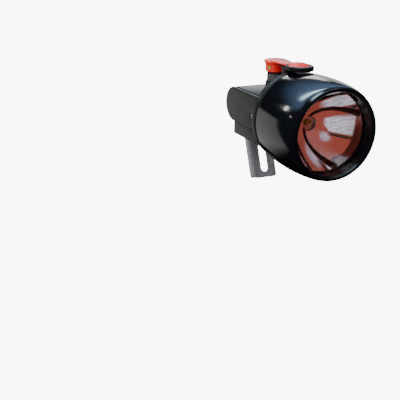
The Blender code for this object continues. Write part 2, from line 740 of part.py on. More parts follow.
def corner_outline(side):
    """What is left of a square lower corner outside its rounding."""
    bottom = -CLIP_BELOW
    centre = (side * (CLIP_HALF_WIDTH - CLIP_CORNER), bottom + CLIP_CORNER)
    start, end = (270, 360) if side > 0 else (270, 180)
    out = side * (CLIP_HALF_WIDTH + 2)
    outside = [(out, bottom + CLIP_CORNER), (out, bottom - 2), (centre[0], bottom - 2)]
    return arc(centre, CLIP_CORNER, start, end, 6) + outside


# ---- Selector switch -------------------------------------------------------------------------


def stadium(front, back, half):
    """A footprint with round ends, as (across, back) points."""
    outline = arc((0, back - half), half, 0, 180, 14)
    outline += arc((0, front + half), half, 180, 360, 14)
    return outline


def build_selector():
    pivot = place(0, TURRET_BACK, 0)
    floor = CASE_TOP + GAP
    front = HEAD_BACK + GAP
    outline = stadium(front, BOSS_BACK, BOSS_HALF_WIDTH)
    boss = upward("switch_boss", outline, floor, BOSS_TOP, "boss_black")
    soften(boss, 0.6, 2, 60)
    room = stadium(front + BOSS_WALL, BOSS_BACK - BOSS_WALL, BOSS_HALF_WIDTH - BOSS_WALL)
    cut(boss, upward("boss_room", room, floor - 2, BOSS_TOP - 1.5, None))
    cut(boss, rod("boss_bore", SHAFT_RADIUS + 0.05, floor, BOSS_TOP + 3, None, pivot))
    smooth(boss)
    foot = BOSS_TOP + GAP
    bore = SHAFT_RADIUS + 0.05
    seal_room = SHAFT_RADIUS + 1.4
    column = [
        (COLUMN_RADIUS - 1.4, COLUMN_TOP), (COLUMN_RADIUS, COLUMN_TOP - 0.4), (COLUMN_RADIUS, foot),
        (bore, foot), (bore, foot + 2.0), (seal_room, foot + 2.0), (seal_room, COLUMN_TOP),
    ]
    smooth(lathe("switch_column", column, "column_grey", pivot, UPRIGHT, 40))
    round_ring("shaft_oring", SHAFT_RADIUS + 0.72, 0.6, foot + 3.0, "rubber_black", pivot, UPRIGHT, 24)
    tube_ring(
        "knob_seal", COLUMN_RADIUS - 0.1, SHAFT_RADIUS + 1.6, COLUMN_TOP + GAP, COLUMN_TOP + 1.2,
        "rubber_black", pivot, UPRIGHT, 32,
    )
    build_knob(pivot)
    build_lever()
    build_shaft(pivot, floor)


def build_knob(pivot):
    """The red drum with its lipped top and the tongue that reaches forward over the lever."""
    low = COLUMN_TOP + 1.2 + GAP
    tongue_low = lever_low() + BAR_THICKNESS + GAP
    tongue_top = tongue_low + TONGUE_THICKNESS
    top = tongue_top + 0.05
    drum = [
        (0, top), (KNOB_LIP_RADIUS - 0.6, top - 0.4), (KNOB_LIP_RADIUS, top - 0.9),
        (KNOB_LIP_RADIUS, top - 1.9), (KNOB_RADIUS + 0.2, top - 2.5), (KNOB_RADIUS, top - 4.1),
        (KNOB_RADIUS - 0.2, low + 0.4), (KNOB_RADIUS - 0.7, low), (0, low),
    ]
    knob = lathe("selector_knob", drum, "switch_red", pivot, UPRIGHT, 40, ring=False)
    tip = INLAY_BACK + PAD_RADIUS + 0.6
    tongue = [
        (-6.6, TURRET_BACK - 3.0), (6.6, TURRET_BACK - 3.0), (4.4, tip + 1.1),
        (3.2, tip), (-3.2, tip), (-4.4, tip + 1.1),
    ]
    cut(knob, upward("knob_tongue", tongue, tongue_low, tongue_top, None), "UNION")
    room = SHAFT_RADIUS + GAP
    cut(knob, rod("knob_shaft_hole", room, low - 2, lever_low() - 1.0, None, pivot))
    pocket = KNOB_RADIUS - 3.2
    for side, label in ((-1, "left"), (1, "right")):
        where = place(0, TURRET_BACK, low + 3.1)
        hole = CONTACT_RADIUS + GAP
        facing = (0, side * math.radians(90), -side * CONTACT_TURN)
        cut(knob, rod("contact_pocket", hole, pocket, KNOB_RADIUS + 3, None, where, facing, 20))
        build_contact(label, pocket + GAP, where, facing)
    smooth(knob)


def build_contact(label, inner, where, rotation):
    """A brass cup whose open mouth is flush with the knob's side."""
    mouth = KNOB_RADIUS + 0.1
    hollow = CONTACT_RADIUS - 0.6
    cup = [
        (0, inner + 0.8), (hollow, inner + 0.8), (hollow, mouth), (CONTACT_RADIUS, mouth),
        (CONTACT_RADIUS, inner), (0, inner),
    ]
    name = f"charge_contact_{label}"
    smooth(lathe(name, cup, "brass", where, rotation, 20, ring=False))


def build_lever():
    """The black lever that carries the thumb pad forward over the lamp head."""
    low = lever_low()
    top = low + LEVER_THICKNESS
    outline = stadium(PAD_BACK - PAD_RADIUS, INLAY_BACK + PAD_RADIUS, PAD_RADIUS)
    lever = upward("lever_arm", outline, low, top, "boss_black")
    soften(lever, 0.8, 2, 60)
    dish = place(0, INLAY_BACK, 0)
    cut(lever, rod("lever_dish", INLAY_RADIUS + GAP, top - INLAY_SINK, top + 3, None, dish, UPRIGHT, 40))
    start = INLAY_BACK + PAD_RADIUS - 2.4
    end = TURRET_BACK - KNOB_RADIUS - 1.5
    cut(lever, block("lever_bar", (-3.9, start, low), (3.9, end, low + BAR_THICKNESS), None), "UNION")
    skirt = block("lever_skirt", (-3.7, end - 11.5, BOSS_TOP + 1.6), (3.7, end - 5.7, low + 0.6), None)
    cut(lever, skirt, "UNION")
    smooth(lever)
    base = top - INLAY_SINK + GAP
    crown = top + 1.7
    reach = INLAY_RADIUS
    dome = [
        (0, crown), (2.6, crown - 0.12), (4.8, crown - 0.5), (reach - 0.9, crown - 1.1),
        (reach, crown - 1.9), (reach, base), (0, base),
    ]
    smooth(lathe("lever_inlay", dome, "switch_red", dish, UPRIGHT, 40, ring=False))


def build_shaft(pivot, floor):
    """The lever's shaft, held under the boss by a washer and a ring, turning the switch's wiper."""
    washer_top = BOSS_TOP - 1.5 - GAP
    tip = floor + 0.7
    groove = washer_top - 0.8 - GAP
    spindle = SHAFT_RADIUS - 0.3
    top = lever_low() - 1.3
    shaft = [
        (0, top), (SHAFT_RADIUS, top), (SHAFT_RADIUS, groove), (SHAFT_GROOVE_RADIUS, groove),
        (SHAFT_GROOVE_RADIUS, groove - 0.9), (spindle, groove - 0.9), (spindle, tip), (0, tip),
    ]
    lathe("lever_shaft", shaft, "steel", pivot, UPRIGHT, 24, ring=False)
    tube_ring(
        "wave_washer", SHAFT_RADIUS + 2.0, SHAFT_RADIUS + 0.15, groove + 0.1, washer_top,
        "steel", pivot, UPRIGHT, 24,
    )
    ring = tube_ring(
        "retaining_ring", SHAFT_RADIUS + 1.6, SHAFT_GROOVE_RADIUS + 0.15, groove - 0.7, groove - 0.15,
        "steel", pivot, UPRIGHT, 24,
    )
    gap_low = (-1.2, TURRET_BACK + 0.5, groove - 3)
    cut(ring, block("ring_gap", gap_low, (1.2, TURRET_BACK + 8, groove + 3), None))
    body_top = groove - 0.9 - GAP - 0.2
    wiper = SHAFT_RADIUS + 1.8
    low = floor + 0.2
    tube_ring("rotary_switch", wiper + 1.3, wiper + 0.5, low, body_top, "chip_black", pivot, UPRIGHT, 28)
    tube_ring("switch_wiper", wiper, spindle + 0.25, floor + 0.9, floor + 1.7, "brass", pivot, UPRIGHT, 20)


clear_scene()
LAMP = new_collection("cap_lamp")
CUTTERS = new_collection("cap_lamp_cutters")
build_head(place(0, 0, 0))
build_case()
build_cells()
build_driver()
build_mounting()
build_selector()
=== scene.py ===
# %% [markdown]
# # A cordless miner's cap lamp
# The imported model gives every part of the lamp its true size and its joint. This lesson dresses
# it: it makes finer versions of the moulded and turned parts, gives each its finish, and lights it.
# The frame is loaded first, because every later step measures from it.

# %% Load the frame
import json
import math

import bmesh
import bpy
from mathutils import Matrix, Vector


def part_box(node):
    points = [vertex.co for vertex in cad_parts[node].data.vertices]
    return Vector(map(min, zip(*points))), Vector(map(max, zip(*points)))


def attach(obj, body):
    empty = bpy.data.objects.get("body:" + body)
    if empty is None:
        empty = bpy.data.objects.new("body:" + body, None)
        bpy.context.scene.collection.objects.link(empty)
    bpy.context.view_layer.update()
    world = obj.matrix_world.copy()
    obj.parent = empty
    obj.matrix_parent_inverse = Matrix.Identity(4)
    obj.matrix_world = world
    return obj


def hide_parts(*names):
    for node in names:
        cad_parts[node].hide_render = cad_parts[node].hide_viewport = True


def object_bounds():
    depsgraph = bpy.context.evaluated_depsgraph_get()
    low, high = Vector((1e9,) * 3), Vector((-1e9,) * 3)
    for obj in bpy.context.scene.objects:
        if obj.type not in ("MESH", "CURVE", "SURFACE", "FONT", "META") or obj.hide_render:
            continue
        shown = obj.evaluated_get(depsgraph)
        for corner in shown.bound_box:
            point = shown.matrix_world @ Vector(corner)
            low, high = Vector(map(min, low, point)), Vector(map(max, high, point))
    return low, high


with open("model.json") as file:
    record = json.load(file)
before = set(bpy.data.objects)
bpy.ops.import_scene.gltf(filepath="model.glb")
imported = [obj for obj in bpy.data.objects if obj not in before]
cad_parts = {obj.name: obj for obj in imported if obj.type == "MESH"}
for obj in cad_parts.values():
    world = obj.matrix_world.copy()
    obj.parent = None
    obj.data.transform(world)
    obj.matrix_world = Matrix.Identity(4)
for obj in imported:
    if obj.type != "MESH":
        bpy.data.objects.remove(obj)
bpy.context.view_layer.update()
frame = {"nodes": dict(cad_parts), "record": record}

MM = 0.001
print("nodes in the frame:", len(frame["nodes"]))

# %% [markdown]
# Lengths are easiest to think of as millimetres back from one datum plane, just behind the lens,
# and above the optical axis. The lens says where both are, so they are measured from its box.

# %% Where things are
lens_low, lens_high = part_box("front_lens")
LENS_AHEAD, LENS_GAP = 5.0, 0.3
DATUM_Y = lens_low.y + (LENS_AHEAD - LENS_GAP) * MM
AXIS_Z = (lens_low.z + lens_high.z) / 2


def spot(across, back, rise):
    """A point from millimetres across, back from the datum plane and above the optical axis."""
    return Vector((across * MM, DATUM_Y + back * MM, AXIS_Z + rise * MM))


def forward_turn(across=0.0, rise=0.0):
    """Places a turned shape so that its own +Z points forward along the optical axis."""
    return Matrix.Translation(spot(across, 0, rise)) @ Matrix.Rotation(math.radians(90), 4, "X")


def upright(across, back):
    """Places a turned shape with +Z up, on a vertical line through a point of the lamp."""
    return Matrix.Translation(spot(across, back, 0))


def sideways(side, back, rise):
    """Places a turned shape so that its own +Z points out of one side of the case."""
    outward = Matrix.Rotation(math.radians(90 * side), 4, "Y")
    return Matrix.Translation(spot(0, back, rise)) @ outward


def forward_of(node):
    """How far a node's front and back lie ahead of the datum plane, in millimetres."""
    low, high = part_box(node)
    return (DATUM_Y - low.y) / MM, (DATUM_Y - high.y) / MM


def rise_of(node):
    """How far a node's bottom and top lie above the optical axis, in millimetres."""
    low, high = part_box(node)
    return (low.z - AXIS_Z) / MM, (high.z - AXIS_Z) / MM


def reach_of(node):
    """How near to the middle plane a node on one side begins, and how far out it ends."""
    return sorted(abs(corner.x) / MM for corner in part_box(node))


print("optical axis height:", round(AXIS_Z, 4), "datum plane:", round(DATUM_Y, 4))

# %% [markdown]
# ## Camera
# The camera comes early so that each piece can be judged as it is made. A long lens from about
# 0.6 m keeps the lamp's proportions calm. The lamp sits in the upper right of a square picture,
# because that is where it would be if the rest of the helmet were there too.

# %% Camera
AZIMUTH, ELEVATION, ROLL = (math.radians(angle) for angle in (-24.36, 18.85, 0.52))
CAMERA_PLACE = spot(-305.1, -478.5, 144.1)
FOCAL_LENGTH, SENSOR_WIDTH = 81.04, 36.0
camera_data = bpy.data.cameras.new("camera")
camera_data.lens = FOCAL_LENGTH
camera_data.sensor_width = SENSOR_WIDTH
camera_data.clip_start = 0.01
camera = bpy.data.objects.new("camera", camera_data)
bpy.context.scene.collection.objects.link(camera)
look = Matrix.Rotation(AZIMUTH, 4, "Z") @ Matrix.Rotation(math.pi / 2 - ELEVATION, 4, "X")
camera.matrix_world = Matrix.Translation(CAMERA_PLACE) @ look @ Matrix.Rotation(ROLL, 4, "Z")
bpy.context.scene.camera = camera
print("camera at", [round(v, 3) for v in camera.location])

# %% [markdown]
# ## Making pieces
# Most of this lamp was turned or moulded, so two helpers do nearly all the modelling. A turned
# piece starts as a half outline that `bmesh.ops.spin` sweeps round; a moulded one is an outline
# that is extruded. Both get their small edge rounding from `bmesh.ops.bevel`, because a real edge
# always catches a thin line of light.

# %% Modelling helpers
MERGE = 0.000002


def finish_mesh(bm, name, matrix=None):
    """Merges doubles, turns the faces outwards, puts the shape in place and makes its object."""
    bmesh.ops.remove_doubles(bm, verts=bm.verts, dist=MERGE)
    if matrix is not None:
        bmesh.ops.transform(bm, matrix=matrix, verts=bm.verts)
    bmesh.ops.recalc_face_normals(bm, faces=bm.faces)
    mesh = bpy.data.meshes.new(name)
    bm.to_mesh(mesh)
    bm.free()
    obj = bpy.data.objects.new(name, mesh)
    bpy.context.scene.collection.objects.link(obj)
    return obj


def round_edges(bm, width, angle=35, segments=3):
    """Rounds every edge whose two faces meet at more than an angle."""
    least = math.radians(angle)
    sharp = [e for e in bm.edges if len(e.link_faces) == 2 and e.calc_face_angle(0) > least]
    bmesh.ops.bevel(
        bm, geom=sharp, offset=width * MM, offset_type="OFFSET", segments=segments,
        profile=0.5, affect="EDGES", material=-1, clamp_overlap=True,
    )


def smooth(obj, angle=40):
    """Shades a piece smooth, except over edges sharper than an angle."""
    obj.data.shade_smooth()
    obj.data.set_sharp_from_angle(angle=math.radians(angle))
    return obj


def spun(outline, closed, steps):
    """A mesh swept round its own Z from an outline of (radius, height) in millimetres."""
    bm = bmesh.new()
    points = [bm.verts.new((radius * MM, 0, height * MM)) for radius, height in outline]
    edges = [bm.edges.new(pair) for pair in zip(points, points[1:])]
    if closed:
        edges.append(bm.edges.new((points[-1], points[0])))
    bmesh.ops.spin(
        bm, geom=points + edges, cent=(0, 0, 0), axis=(0, 0, 1), angle=2 * math.pi,
        steps=steps, use_merge=True, use_duplicate=False,
    )
    bmesh.ops.remove_doubles(bm, verts=bm.verts, dist=MERGE)
    bmesh.ops.recalc_face_normals(bm, faces=bm.faces)
    return bm


def turned(name, outline, matrix, rounding=0.0, closed=True, steps=96, angle=35):
    """A turned piece with its edges rounded; an open outline starts and ends on its axis."""
    bm = spun(outline, closed, steps)
    if rounding:
        round_edges(bm, rounding, angle)
    return smooth(finish_mesh(bm, name, matrix))


def slab(bm, outline, thickness):
    """Extrudes an outline of 3D points by a vector, both in metres."""
    face = bm.faces.new([bm.verts.new(point) for point in outline])
    grown = bmesh.ops.extrude_face_region(bm, geom=[face])
    moved = [item for item in grown["geom"] if isinstance(item, bmesh.types.BMVert)]
    bmesh.ops.translate(bm, verts=moved, vec=thickness)
    bmesh.ops.recalc_face_normals(bm, faces=bm.faces)


def moulded(name, outline, thickness, rounding=0.0, angle=35, segments=3):
    """A piece extruded from an outline, with its edges rounded."""
    bm = bmesh.new()
    slab(bm, outline, thickness)
    if rounding:
        round_edges(bm, rounding, angle, segments)
    return smooth(finish_mesh(bm, name))


def arc(centre, radius, start, end, steps):
    """Points on part of a circle, its angles in degrees."""
    turns = [math.radians(start + (end - start) * i / steps) for i in range(steps + 1)]
    return [(centre[0] + radius * math.cos(t), centre[1] + radius * math.sin(t)) for t in turns]


def carve(obj, tool, operation="DIFFERENCE"):
    """Cuts one shape out of another, or joins it on, and leaves a plain mesh."""
    modifier = obj.modifiers.new("cut", "BOOLEAN")
    modifier.solver = "EXACT"
    modifier.operation = operation
    modifier.object = tool
    bpy.context.view_layer.update()
    evaluated = obj.evaluated_get(bpy.context.evaluated_depsgraph_get())
    result = bpy.data.meshes.new_from_object(evaluated)
    obj.modifiers.clear()
    obj.data = result
    bpy.data.objects.remove(tool)
    return smooth(obj)


def box_piece(name, low, high, rounding, segments=3):
    """A rounded box between two corners, in metres."""
    bm = bmesh.new()
    bmesh.ops.create_cube(bm, size=1.0)
    bmesh.ops.scale(bm, vec=high - low, verts=bm.verts)
    if rounding:
        round_edges(bm, rounding, 35, segments)
    return smooth(finish_mesh(bm, name, Matrix.Translation((low + high) / 2)))


def rounded(obj, width, angle, segments=2):
    """Breaks the edges that are left sharp after a cut."""
    bm = bmesh.new()
    bm.from_mesh(obj.data)
    round_edges(bm, width, angle, segments)
    bmesh.ops.remove_doubles(bm, verts=bm.verts, dist=MERGE)
    bm.to_mesh(obj.data)
    bm.free()
    return smooth(obj)


def stands_for(obj, slot, body, *nodes):
    """Hides the CAD nodes that a piece stands for and hangs it on the body it moves with; slot is
    not used.
    """
    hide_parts(*nodes)
    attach(obj, body)
    print(obj.name, "faces:", len(obj.data.polygons))
    return obj


print("helpers ready")

# %% [markdown]
# ## Finishes
# Every finish is one Principled shader whose colour, roughness and bump are varied by procedural
# noise in Object coordinates, because each piece's mesh lies in the lamp's own frame and the pattern
# then neither slides nor needs an unwrap. One builder makes the common nodes, and each finish adds
# what is special to it.

# %% The finish builder
def new_finish(name, metallic=0.0, coat=0.0, ior=1.5):
    """An empty finish: its material, its nodes, its links and its shader."""
    made = bpy.data.materials.new(name)
    made.use_nodes = True
    tree = made.node_tree
    shader = tree.nodes["Principled BSDF"]
    shader.inputs["Metallic"].default_value = metallic
    shader.inputs["Coat Weight"].default_value = coat
    shader.inputs["Coat Roughness"].default_value = 0.06
    shader.inputs["IOR"].default_value = ior
    return made, tree, shader


def place_coordinates(tree, stretch=(1, 1, 1)):
    """Object coordinates, stretched so that a pattern can run one way."""
    where = tree.nodes.new("ShaderNodeTexCoord")
    mapping = tree.nodes.new("ShaderNodeMapping")
    mapping.inputs["Scale"].default_value = stretch
    tree.links.new(where.outputs["Object"], mapping.inputs["Vector"])
    return mapping.outputs["Vector"]


def noise(tree, vector, scale, detail=4.0, roughness=0.55):
    """A noise value, mostly between a third and two thirds."""
    texture = tree.nodes.new("ShaderNodeTexNoise")
    texture.inputs["Scale"].default_value = scale
    texture.inputs["Detail"].default_value = detail
    texture.inputs["Roughness"].default_value = roughness
    tree.links.new(vector, texture.inputs["Vector"])
    return texture.outputs["Fac"]


def spread(tree, value, low, high, start=0.35, end=0.65):
    """Maps a noise value to a range."""
    mapped = tree.nodes.new("ShaderNodeMapRange")
    mapped.inputs["From Min"].default_value = start
    mapped.inputs["From Max"].default_value = end
    mapped.inputs["To Min"].default_value = low
    mapped.inputs["To Max"].default_value = high
    tree.links.new(value, mapped.inputs["Value"])
    return mapped.outputs["Result"]


def blend_colours(tree, factor, first, second):
    """Two colours, or a colour and a socket, mixed by a value."""
    mix = tree.nodes.new("ShaderNodeMix")
    mix.data_type = "RGBA"
    tree.links.new(factor, mix.inputs["Factor"])
    for key, colour in (("A", first), ("B", second)):
        socket = next(s for s in mix.inputs if s.name == key and s.type == "RGBA")
        if isinstance(colour, tuple):
            socket.default_value = (*colour, 1.0)
        else:
            tree.links.new(colour, socket)
    return next(s for s in mix.outputs if s.type == "RGBA")


def bump(tree, shader, height, strength, distance):
    """Lets a height value tilt the surface; its depth is in millimetres."""
    node = tree.nodes.new("ShaderNodeBump")
    node.inputs["Strength"].default_value = strength
    node.inputs["Distance"].default_value = distance * MM
    tree.links.new(height, node.inputs["Height"])
    tree.links.new(node.outputs["Normal"], shader.inputs["Normal"])
    return node


CLOUD_SCALE, SCUFF_SCALE, STAIN_SCALE = 90, 540, 140


def plastic(name, dark, light, rough, grain, strength, depth, coat=0.0):
    """Moulded plastic: cloudy colour, uneven gloss and a fine eroded grain."""
    made, tree, shader = new_finish(name, coat=coat)
    vector = place_coordinates(tree)
    cloud = noise(tree, vector, CLOUD_SCALE, 5.0, 0.6)
    colour = blend_colours(tree, spread(tree, cloud, 0, 1), dark, light)
    tree.links.new(colour, shader.inputs["Base Color"])
    scuff = noise(tree, vector, SCUFF_SCALE, 6.0, 0.7)
    tree.links.new(spread(tree, scuff, rough[0], rough[1]), shader.inputs["Roughness"])
    bump(tree, shader, noise(tree, vector, grain, 2.0), strength, depth)
    return made


def metal(name, dark, light, rough, along, grain, strength, depth, bare=1.0):
    """Metal with a grain that runs the way it was drawn; less bare metal shows more of its film."""
    made, tree, shader = new_finish(name, metallic=bare)
    vector = place_coordinates(tree, stretch=along)
    lines = noise(tree, vector, grain, 5.0, 0.7)
    colour = blend_colours(tree, spread(tree, lines, 0, 1, 0.3, 0.7), dark, light)
    tree.links.new(colour, shader.inputs["Base Color"])
    stain = noise(tree, place_coordinates(tree), STAIN_SCALE, 4.0)
    tree.links.new(spread(tree, stain, rough[0], rough[1]), shader.inputs["Roughness"])
    bump(tree, shader, lines, strength, depth)
    return made


print("finish builder ready")

# %% [markdown]
# The bezel is polished black plastic: nearly black, mirror smooth, with the faint waviness of a
# large moulding and the smears that a lamp picks up underground. The case is a charcoal plastic with
# a fine satin grain. The switch's red pieces are softer and a little see-through, which subsurface
# scattering gives them.

# %% Plastics and rubber
FINISH = {}


def bezel_finish():
    """Polished black, a little cloudy, with faint smears and a wavy surface."""
    made, tree, shader = new_finish("bezel_gloss_black", coat=0.4, ior=1.6)
    vector = place_coordinates(tree)
    cloud = spread(tree, noise(tree, vector, 45, 3.0), 0, 1)
    colour = blend_colours(tree, cloud, (0.0022, 0.0026, 0.0040), (0.0040, 0.0046, 0.0065))
    tree.links.new(colour, shader.inputs["Base Color"])
    smear = noise(tree, place_coordinates(tree, (1, 3, 1)), 160, 6.0, 0.75)
    tree.links.new(spread(tree, smear, 0.10, 0.2, 0.4, 0.75), shader.inputs["Roughness"])
    wave = noise(tree, vector, 60, 1.0)
    bump(tree, shader, wave, 0.12, 0.1)
    return made


def red_finish():
    """Soft red plastic that light enters a little way."""
    dark, light = (0.74, 0.016, 0.008), (0.86, 0.024, 0.012)
    made = plastic("switch_red", dark, light, (0.26, 0.38), 2200, 0.15, 0.04, 0.1)
    shader = made.node_tree.nodes["Principled BSDF"]
    shader.inputs["Subsurface Weight"].default_value = 0.12
    shader.inputs["Subsurface Radius"].default_value = (0.002, 0.0006, 0.0004)
    shader.inputs["Subsurface Scale"].default_value = 1.0
    return made


# dark colour, light colour, roughness range, grain scale, grain strength and depth, coat
PLASTICS = {
    "case_charcoal": ((0.010, 0.011, 0.010), (0.016, 0.017, 0.016), (0.26, 0.36), 2400, 0.15, 0.04),
    "boss_black": ((0.004, 0.004, 0.005), (0.009, 0.009, 0.010), (0.28, 0.42), 2600, 0.2, 0.04),
    "column_grey": ((0.045, 0.046, 0.045), (0.065, 0.066, 0.064), (0.4, 0.55), 2200, 0.2, 0.05),
    "rubber_black": ((0.010, 0.010, 0.010), (0.020, 0.020, 0.020), (0.6, 0.85), 1800, 0.35, 0.06),
    "chip_black": ((0.012, 0.012, 0.013), (0.022, 0.022, 0.022), (0.45, 0.6), 3500, 0.3, 0.03),
    "foam_grey": ((0.06, 0.06, 0.06), (0.13, 0.13, 0.13), (0.85, 0.95), 1500, 0.9, 0.3),
    "wire_red": ((0.45, 0.02, 0.015), (0.58, 0.03, 0.02), (0.4, 0.5), 1500, 0.1, 0.03),
    "wire_black": ((0.010, 0.010, 0.010), (0.020, 0.020, 0.020), (0.4, 0.5), 1500, 0.1, 0.03),
    "cell_blue": ((0.02, 0.07, 0.26), (0.03, 0.10, 0.34), (0.25, 0.4), 900, 0.15, 0.04, 0.3),
    "phosphor": ((0.75, 0.50, 0.05), (0.88, 0.66, 0.12), (0.5, 0.7), 4000, 0.4, 0.03),
}
FINISH["bezel_gloss_black"] = bezel_finish()
for name, values in PLASTICS.items():
    FINISH[name] = plastic(name, *values)
FINISH["switch_red"] = red_finish()
print("plastics:", len(FINISH))

# %% [markdown]
# The clip is rolled steel, brushed down its length. The mirror is aluminium evaporated on plastic,
# which is never quite even, so a very faint waviness is left in it. The lens is clear and
# hard-coated, with a little dust.

# %% Metals, lens, dome and board
def lens_finish():
    """Clear plastic with dust on it."""
    made, tree, shader = new_finish("clear_lens", ior=1.45)
    shader.inputs["Base Color"].default_value = (0.97, 0.98, 0.985, 1.0)
    shader.inputs["Transmission Weight"].default_value = 1.0
    dust = noise(tree, place_coordinates(tree), 420, 6.0, 0.8)
    tree.links.new(spread(tree, dust, 0.0, 0.012, 0.62, 0.8), shader.inputs["Roughness"])
    return made


def silicone_finish():
    """Nearly clear rubber with a faint haze."""
    made, tree, shader = new_finish("silicone", ior=1.41)
    shader.inputs["Base Color"].default_value = (0.96, 0.95, 0.88, 1.0)
    shader.inputs["Transmission Weight"].default_value = 0.9
    haze = noise(tree, place_coordinates(tree), 900, 3.0)
    tree.links.new(spread(tree, haze, 0.03, 0.10), shader.inputs["Roughness"])
    return made


def board_finish():
    """Green board with its traces laid out like brickwork."""
    made, tree, shader = new_finish("board_green")
    vector = place_coordinates(tree)
    brick = tree.nodes.new("ShaderNodeTexBrick")
    brick.inputs["Scale"].default_value = 420
    brick.inputs["Color1"].default_value = (0.008, 0.085, 0.030, 1)
    brick.inputs["Color2"].default_value = (0.012, 0.11, 0.040, 1)
    brick.inputs["Mortar"].default_value = (0.02, 0.17, 0.06, 1)
    brick.inputs["Mortar Size"].default_value = 0.03
    tree.links.new(vector, brick.inputs["Vector"])
    tree.links.new(brick.outputs["Color"], shader.inputs["Base Color"])
    tree.links.new(spread(tree, noise(tree, vector, 300), 0.3, 0.45), shader.inputs["Roughness"])
    bump(tree, shader, brick.outputs["Fac"], 0.3, 0.03)
    return made


BRUSHED = (6, 6, 0.5)
# dark, light, roughness range, stretch of the grain, its scale, strength and depth, bare metal
METALS = {
    "steel": ((0.30, 0.31, 0.33), (0.42, 0.43, 0.45), (0.26, 0.42), BRUSHED, 420, 0.25, 0.03, 0.6),
    "brass": ((0.60, 0.36, 0.08), (0.78, 0.52, 0.16), (0.22, 0.36), (1, 1, 1), 1200, 0.2, 0.02, 0.3),
    "aluminium": ((0.62, 0.63, 0.65), (0.74, 0.75, 0.77), (0.3, 0.42), (1, 4, 1), 900, 0.2, 0.02),
    "mirror": ((0.80, 0.79, 0.80), (0.90, 0.89, 0.90), (0.03, 0.07), (1, 0.3, 1), 90, 0.06, 0.08),
}
for name, values in METALS.items():
    FINISH[name] = metal(name, *values)
FINISH["clear_lens"] = lens_finish()
FINISH["silicone"] = silicone_finish()
FINISH["board_green"] = board_finish()
for part in frame["record"]["subparts"]:
    node = frame["nodes"][part["node"]]
    node.data.materials.clear()
    node.data.materials.append(FINISH[part["material_slot"]])


def dressed(obj, slot, body, *nodes):
    """Gives a piece its finish and says what it stands for."""
    obj.data.materials.clear()
    obj.data.materials.append(FINISH[slot])
    return stands_for(obj, slot, body, *nodes)

# %% [markdown]
# ## Bezel
# The bezel is the lamp's face: one glossy barrel, widest half way back, drawn in to a rounded nose
# with a lip that shades the lens. Its reflections show every facet, so it is spun in 160 steps from
# a smooth outline and only its inner corners are left crisp.

# %% Bezel
NOSE, WIDEST, REAR = 29.6, 33.0, 31.8
NOSE_FORWARD, WIDEST_BACK, LENGTH_BACK = 12.2, 13.5, 36.3
NOSE_FULLNESS, TAIL_FULLNESS, REAR_ROUND = 0.8, 1.8, 0.45
LIP, LIP_FORWARD, SIGHT, SEAT = 27.3, 10.6, 26.3, 28.5
BORE, BORE_FRONT = 29.5, LENS_AHEAD - 6.3


def bezel_outline():
    """(radius, forward) from the nose, down the outside to the rear edge, and back up inside."""
    points = []
    steps, tail_steps = 26, 10
    for index in range(steps + 1):
        share = 0.995 * abs(math.cos(math.pi / 2 * index / steps)) ** NOSE_FULLNESS
        fall = (WIDEST - NOSE) * (1 - math.sqrt(1 - share**2))
        points.append((WIDEST - fall, share * (WIDEST_BACK + NOSE_FORWARD) - WIDEST_BACK))
    for index in range(1, tail_steps + 1):
        share = 0.98 * index / tail_steps
        radius = WIDEST - (WIDEST - REAR) * share**TAIL_FULLNESS
        points.append((radius, -WIDEST_BACK - share * (LENGTH_BACK - WIDEST_BACK)))
    points += arc((REAR - REAR_ROUND, -LENGTH_BACK + REAR_ROUND), REAR_ROUND, 0, -90, 4)
    points += [(BORE, -LENGTH_BACK), (BORE, BORE_FRONT), (SEAT, BORE_FRONT)]
    points += [(SEAT, LENS_AHEAD), (SIGHT, LENS_AHEAD)]
    wall = LIP_FORWARD - LENS_AHEAD
    points += [(SIGHT + (LIP - SIGHT) * t, LENS_AHEAD + t * wall) for t in (0.05, 0.33, 0.66, 1.0)]
    nose_round = ((0.25, 0.85), (0.7, 0.4), (1.2, 0.15))
    return points + [(LIP + out, NOSE_FORWARD - short) for out, short in nose_round]


bezel = turned("bezel", bezel_outline(), forward_turn(), steps=160)
dressed(bezel, "bezel_gloss_black", "bezel", "bezel_ring")

# %% [markdown]
# ## Reflector
# The mirror is a paraboloid, so that light from the LED at its focus leaves as a beam. The outline
# is the parabola itself, spun and then given its wall with `bmesh.ops.solidify`.

# %% Reflector
RIM_GAP = 0.02
rim = forward_of("reflector")[0] - RIM_GAP
MOUTH, HOLE, DEPTH, FLANGE, BOWL_WALL = SIGHT - 0.4, 4.2, 17.1, 27.9, 0.8


def reflector_outline():
    """The parabola from the mouth to the LED hole, with the flange outside the mouth."""
    four_focal_lengths = (MOUTH**2 - HOLE**2) / DEPTH
    steps = 40
    radii = [MOUTH + (HOLE - MOUTH) * index / steps for index in range(steps + 1)]
    return [(FLANGE, rim)] + [(r, rim - (MOUTH**2 - r**2) / four_focal_lengths) for r in radii]


def make_reflector():
    """The bowl and its flange, with a wall behind the mirror face."""
    bm = spun(reflector_outline(), False, 128)
    if sum(f.normal.z for f in bm.faces) < 0:
        bmesh.ops.reverse_faces(bm, faces=bm.faces)
    bmesh.ops.solidify(bm, geom=bm.faces, thickness=BOWL_WALL * MM)
    return smooth(finish_mesh(bm, "mirror_bowl", forward_turn()))


dressed(make_reflector(), "mirror", "lamp", "reflector")

# %% [markdown]
# ## LED
# The light source is a square package with a yellow phosphor face under a clear dome. It is small
# and sits deep in the mirror, but the mirror enlarges it.

# %% LED
CHIP, CHIP_RIM, CHIP_DISH, CHIP_ROUND = 3.3, 0.55, 0.12, 0.08


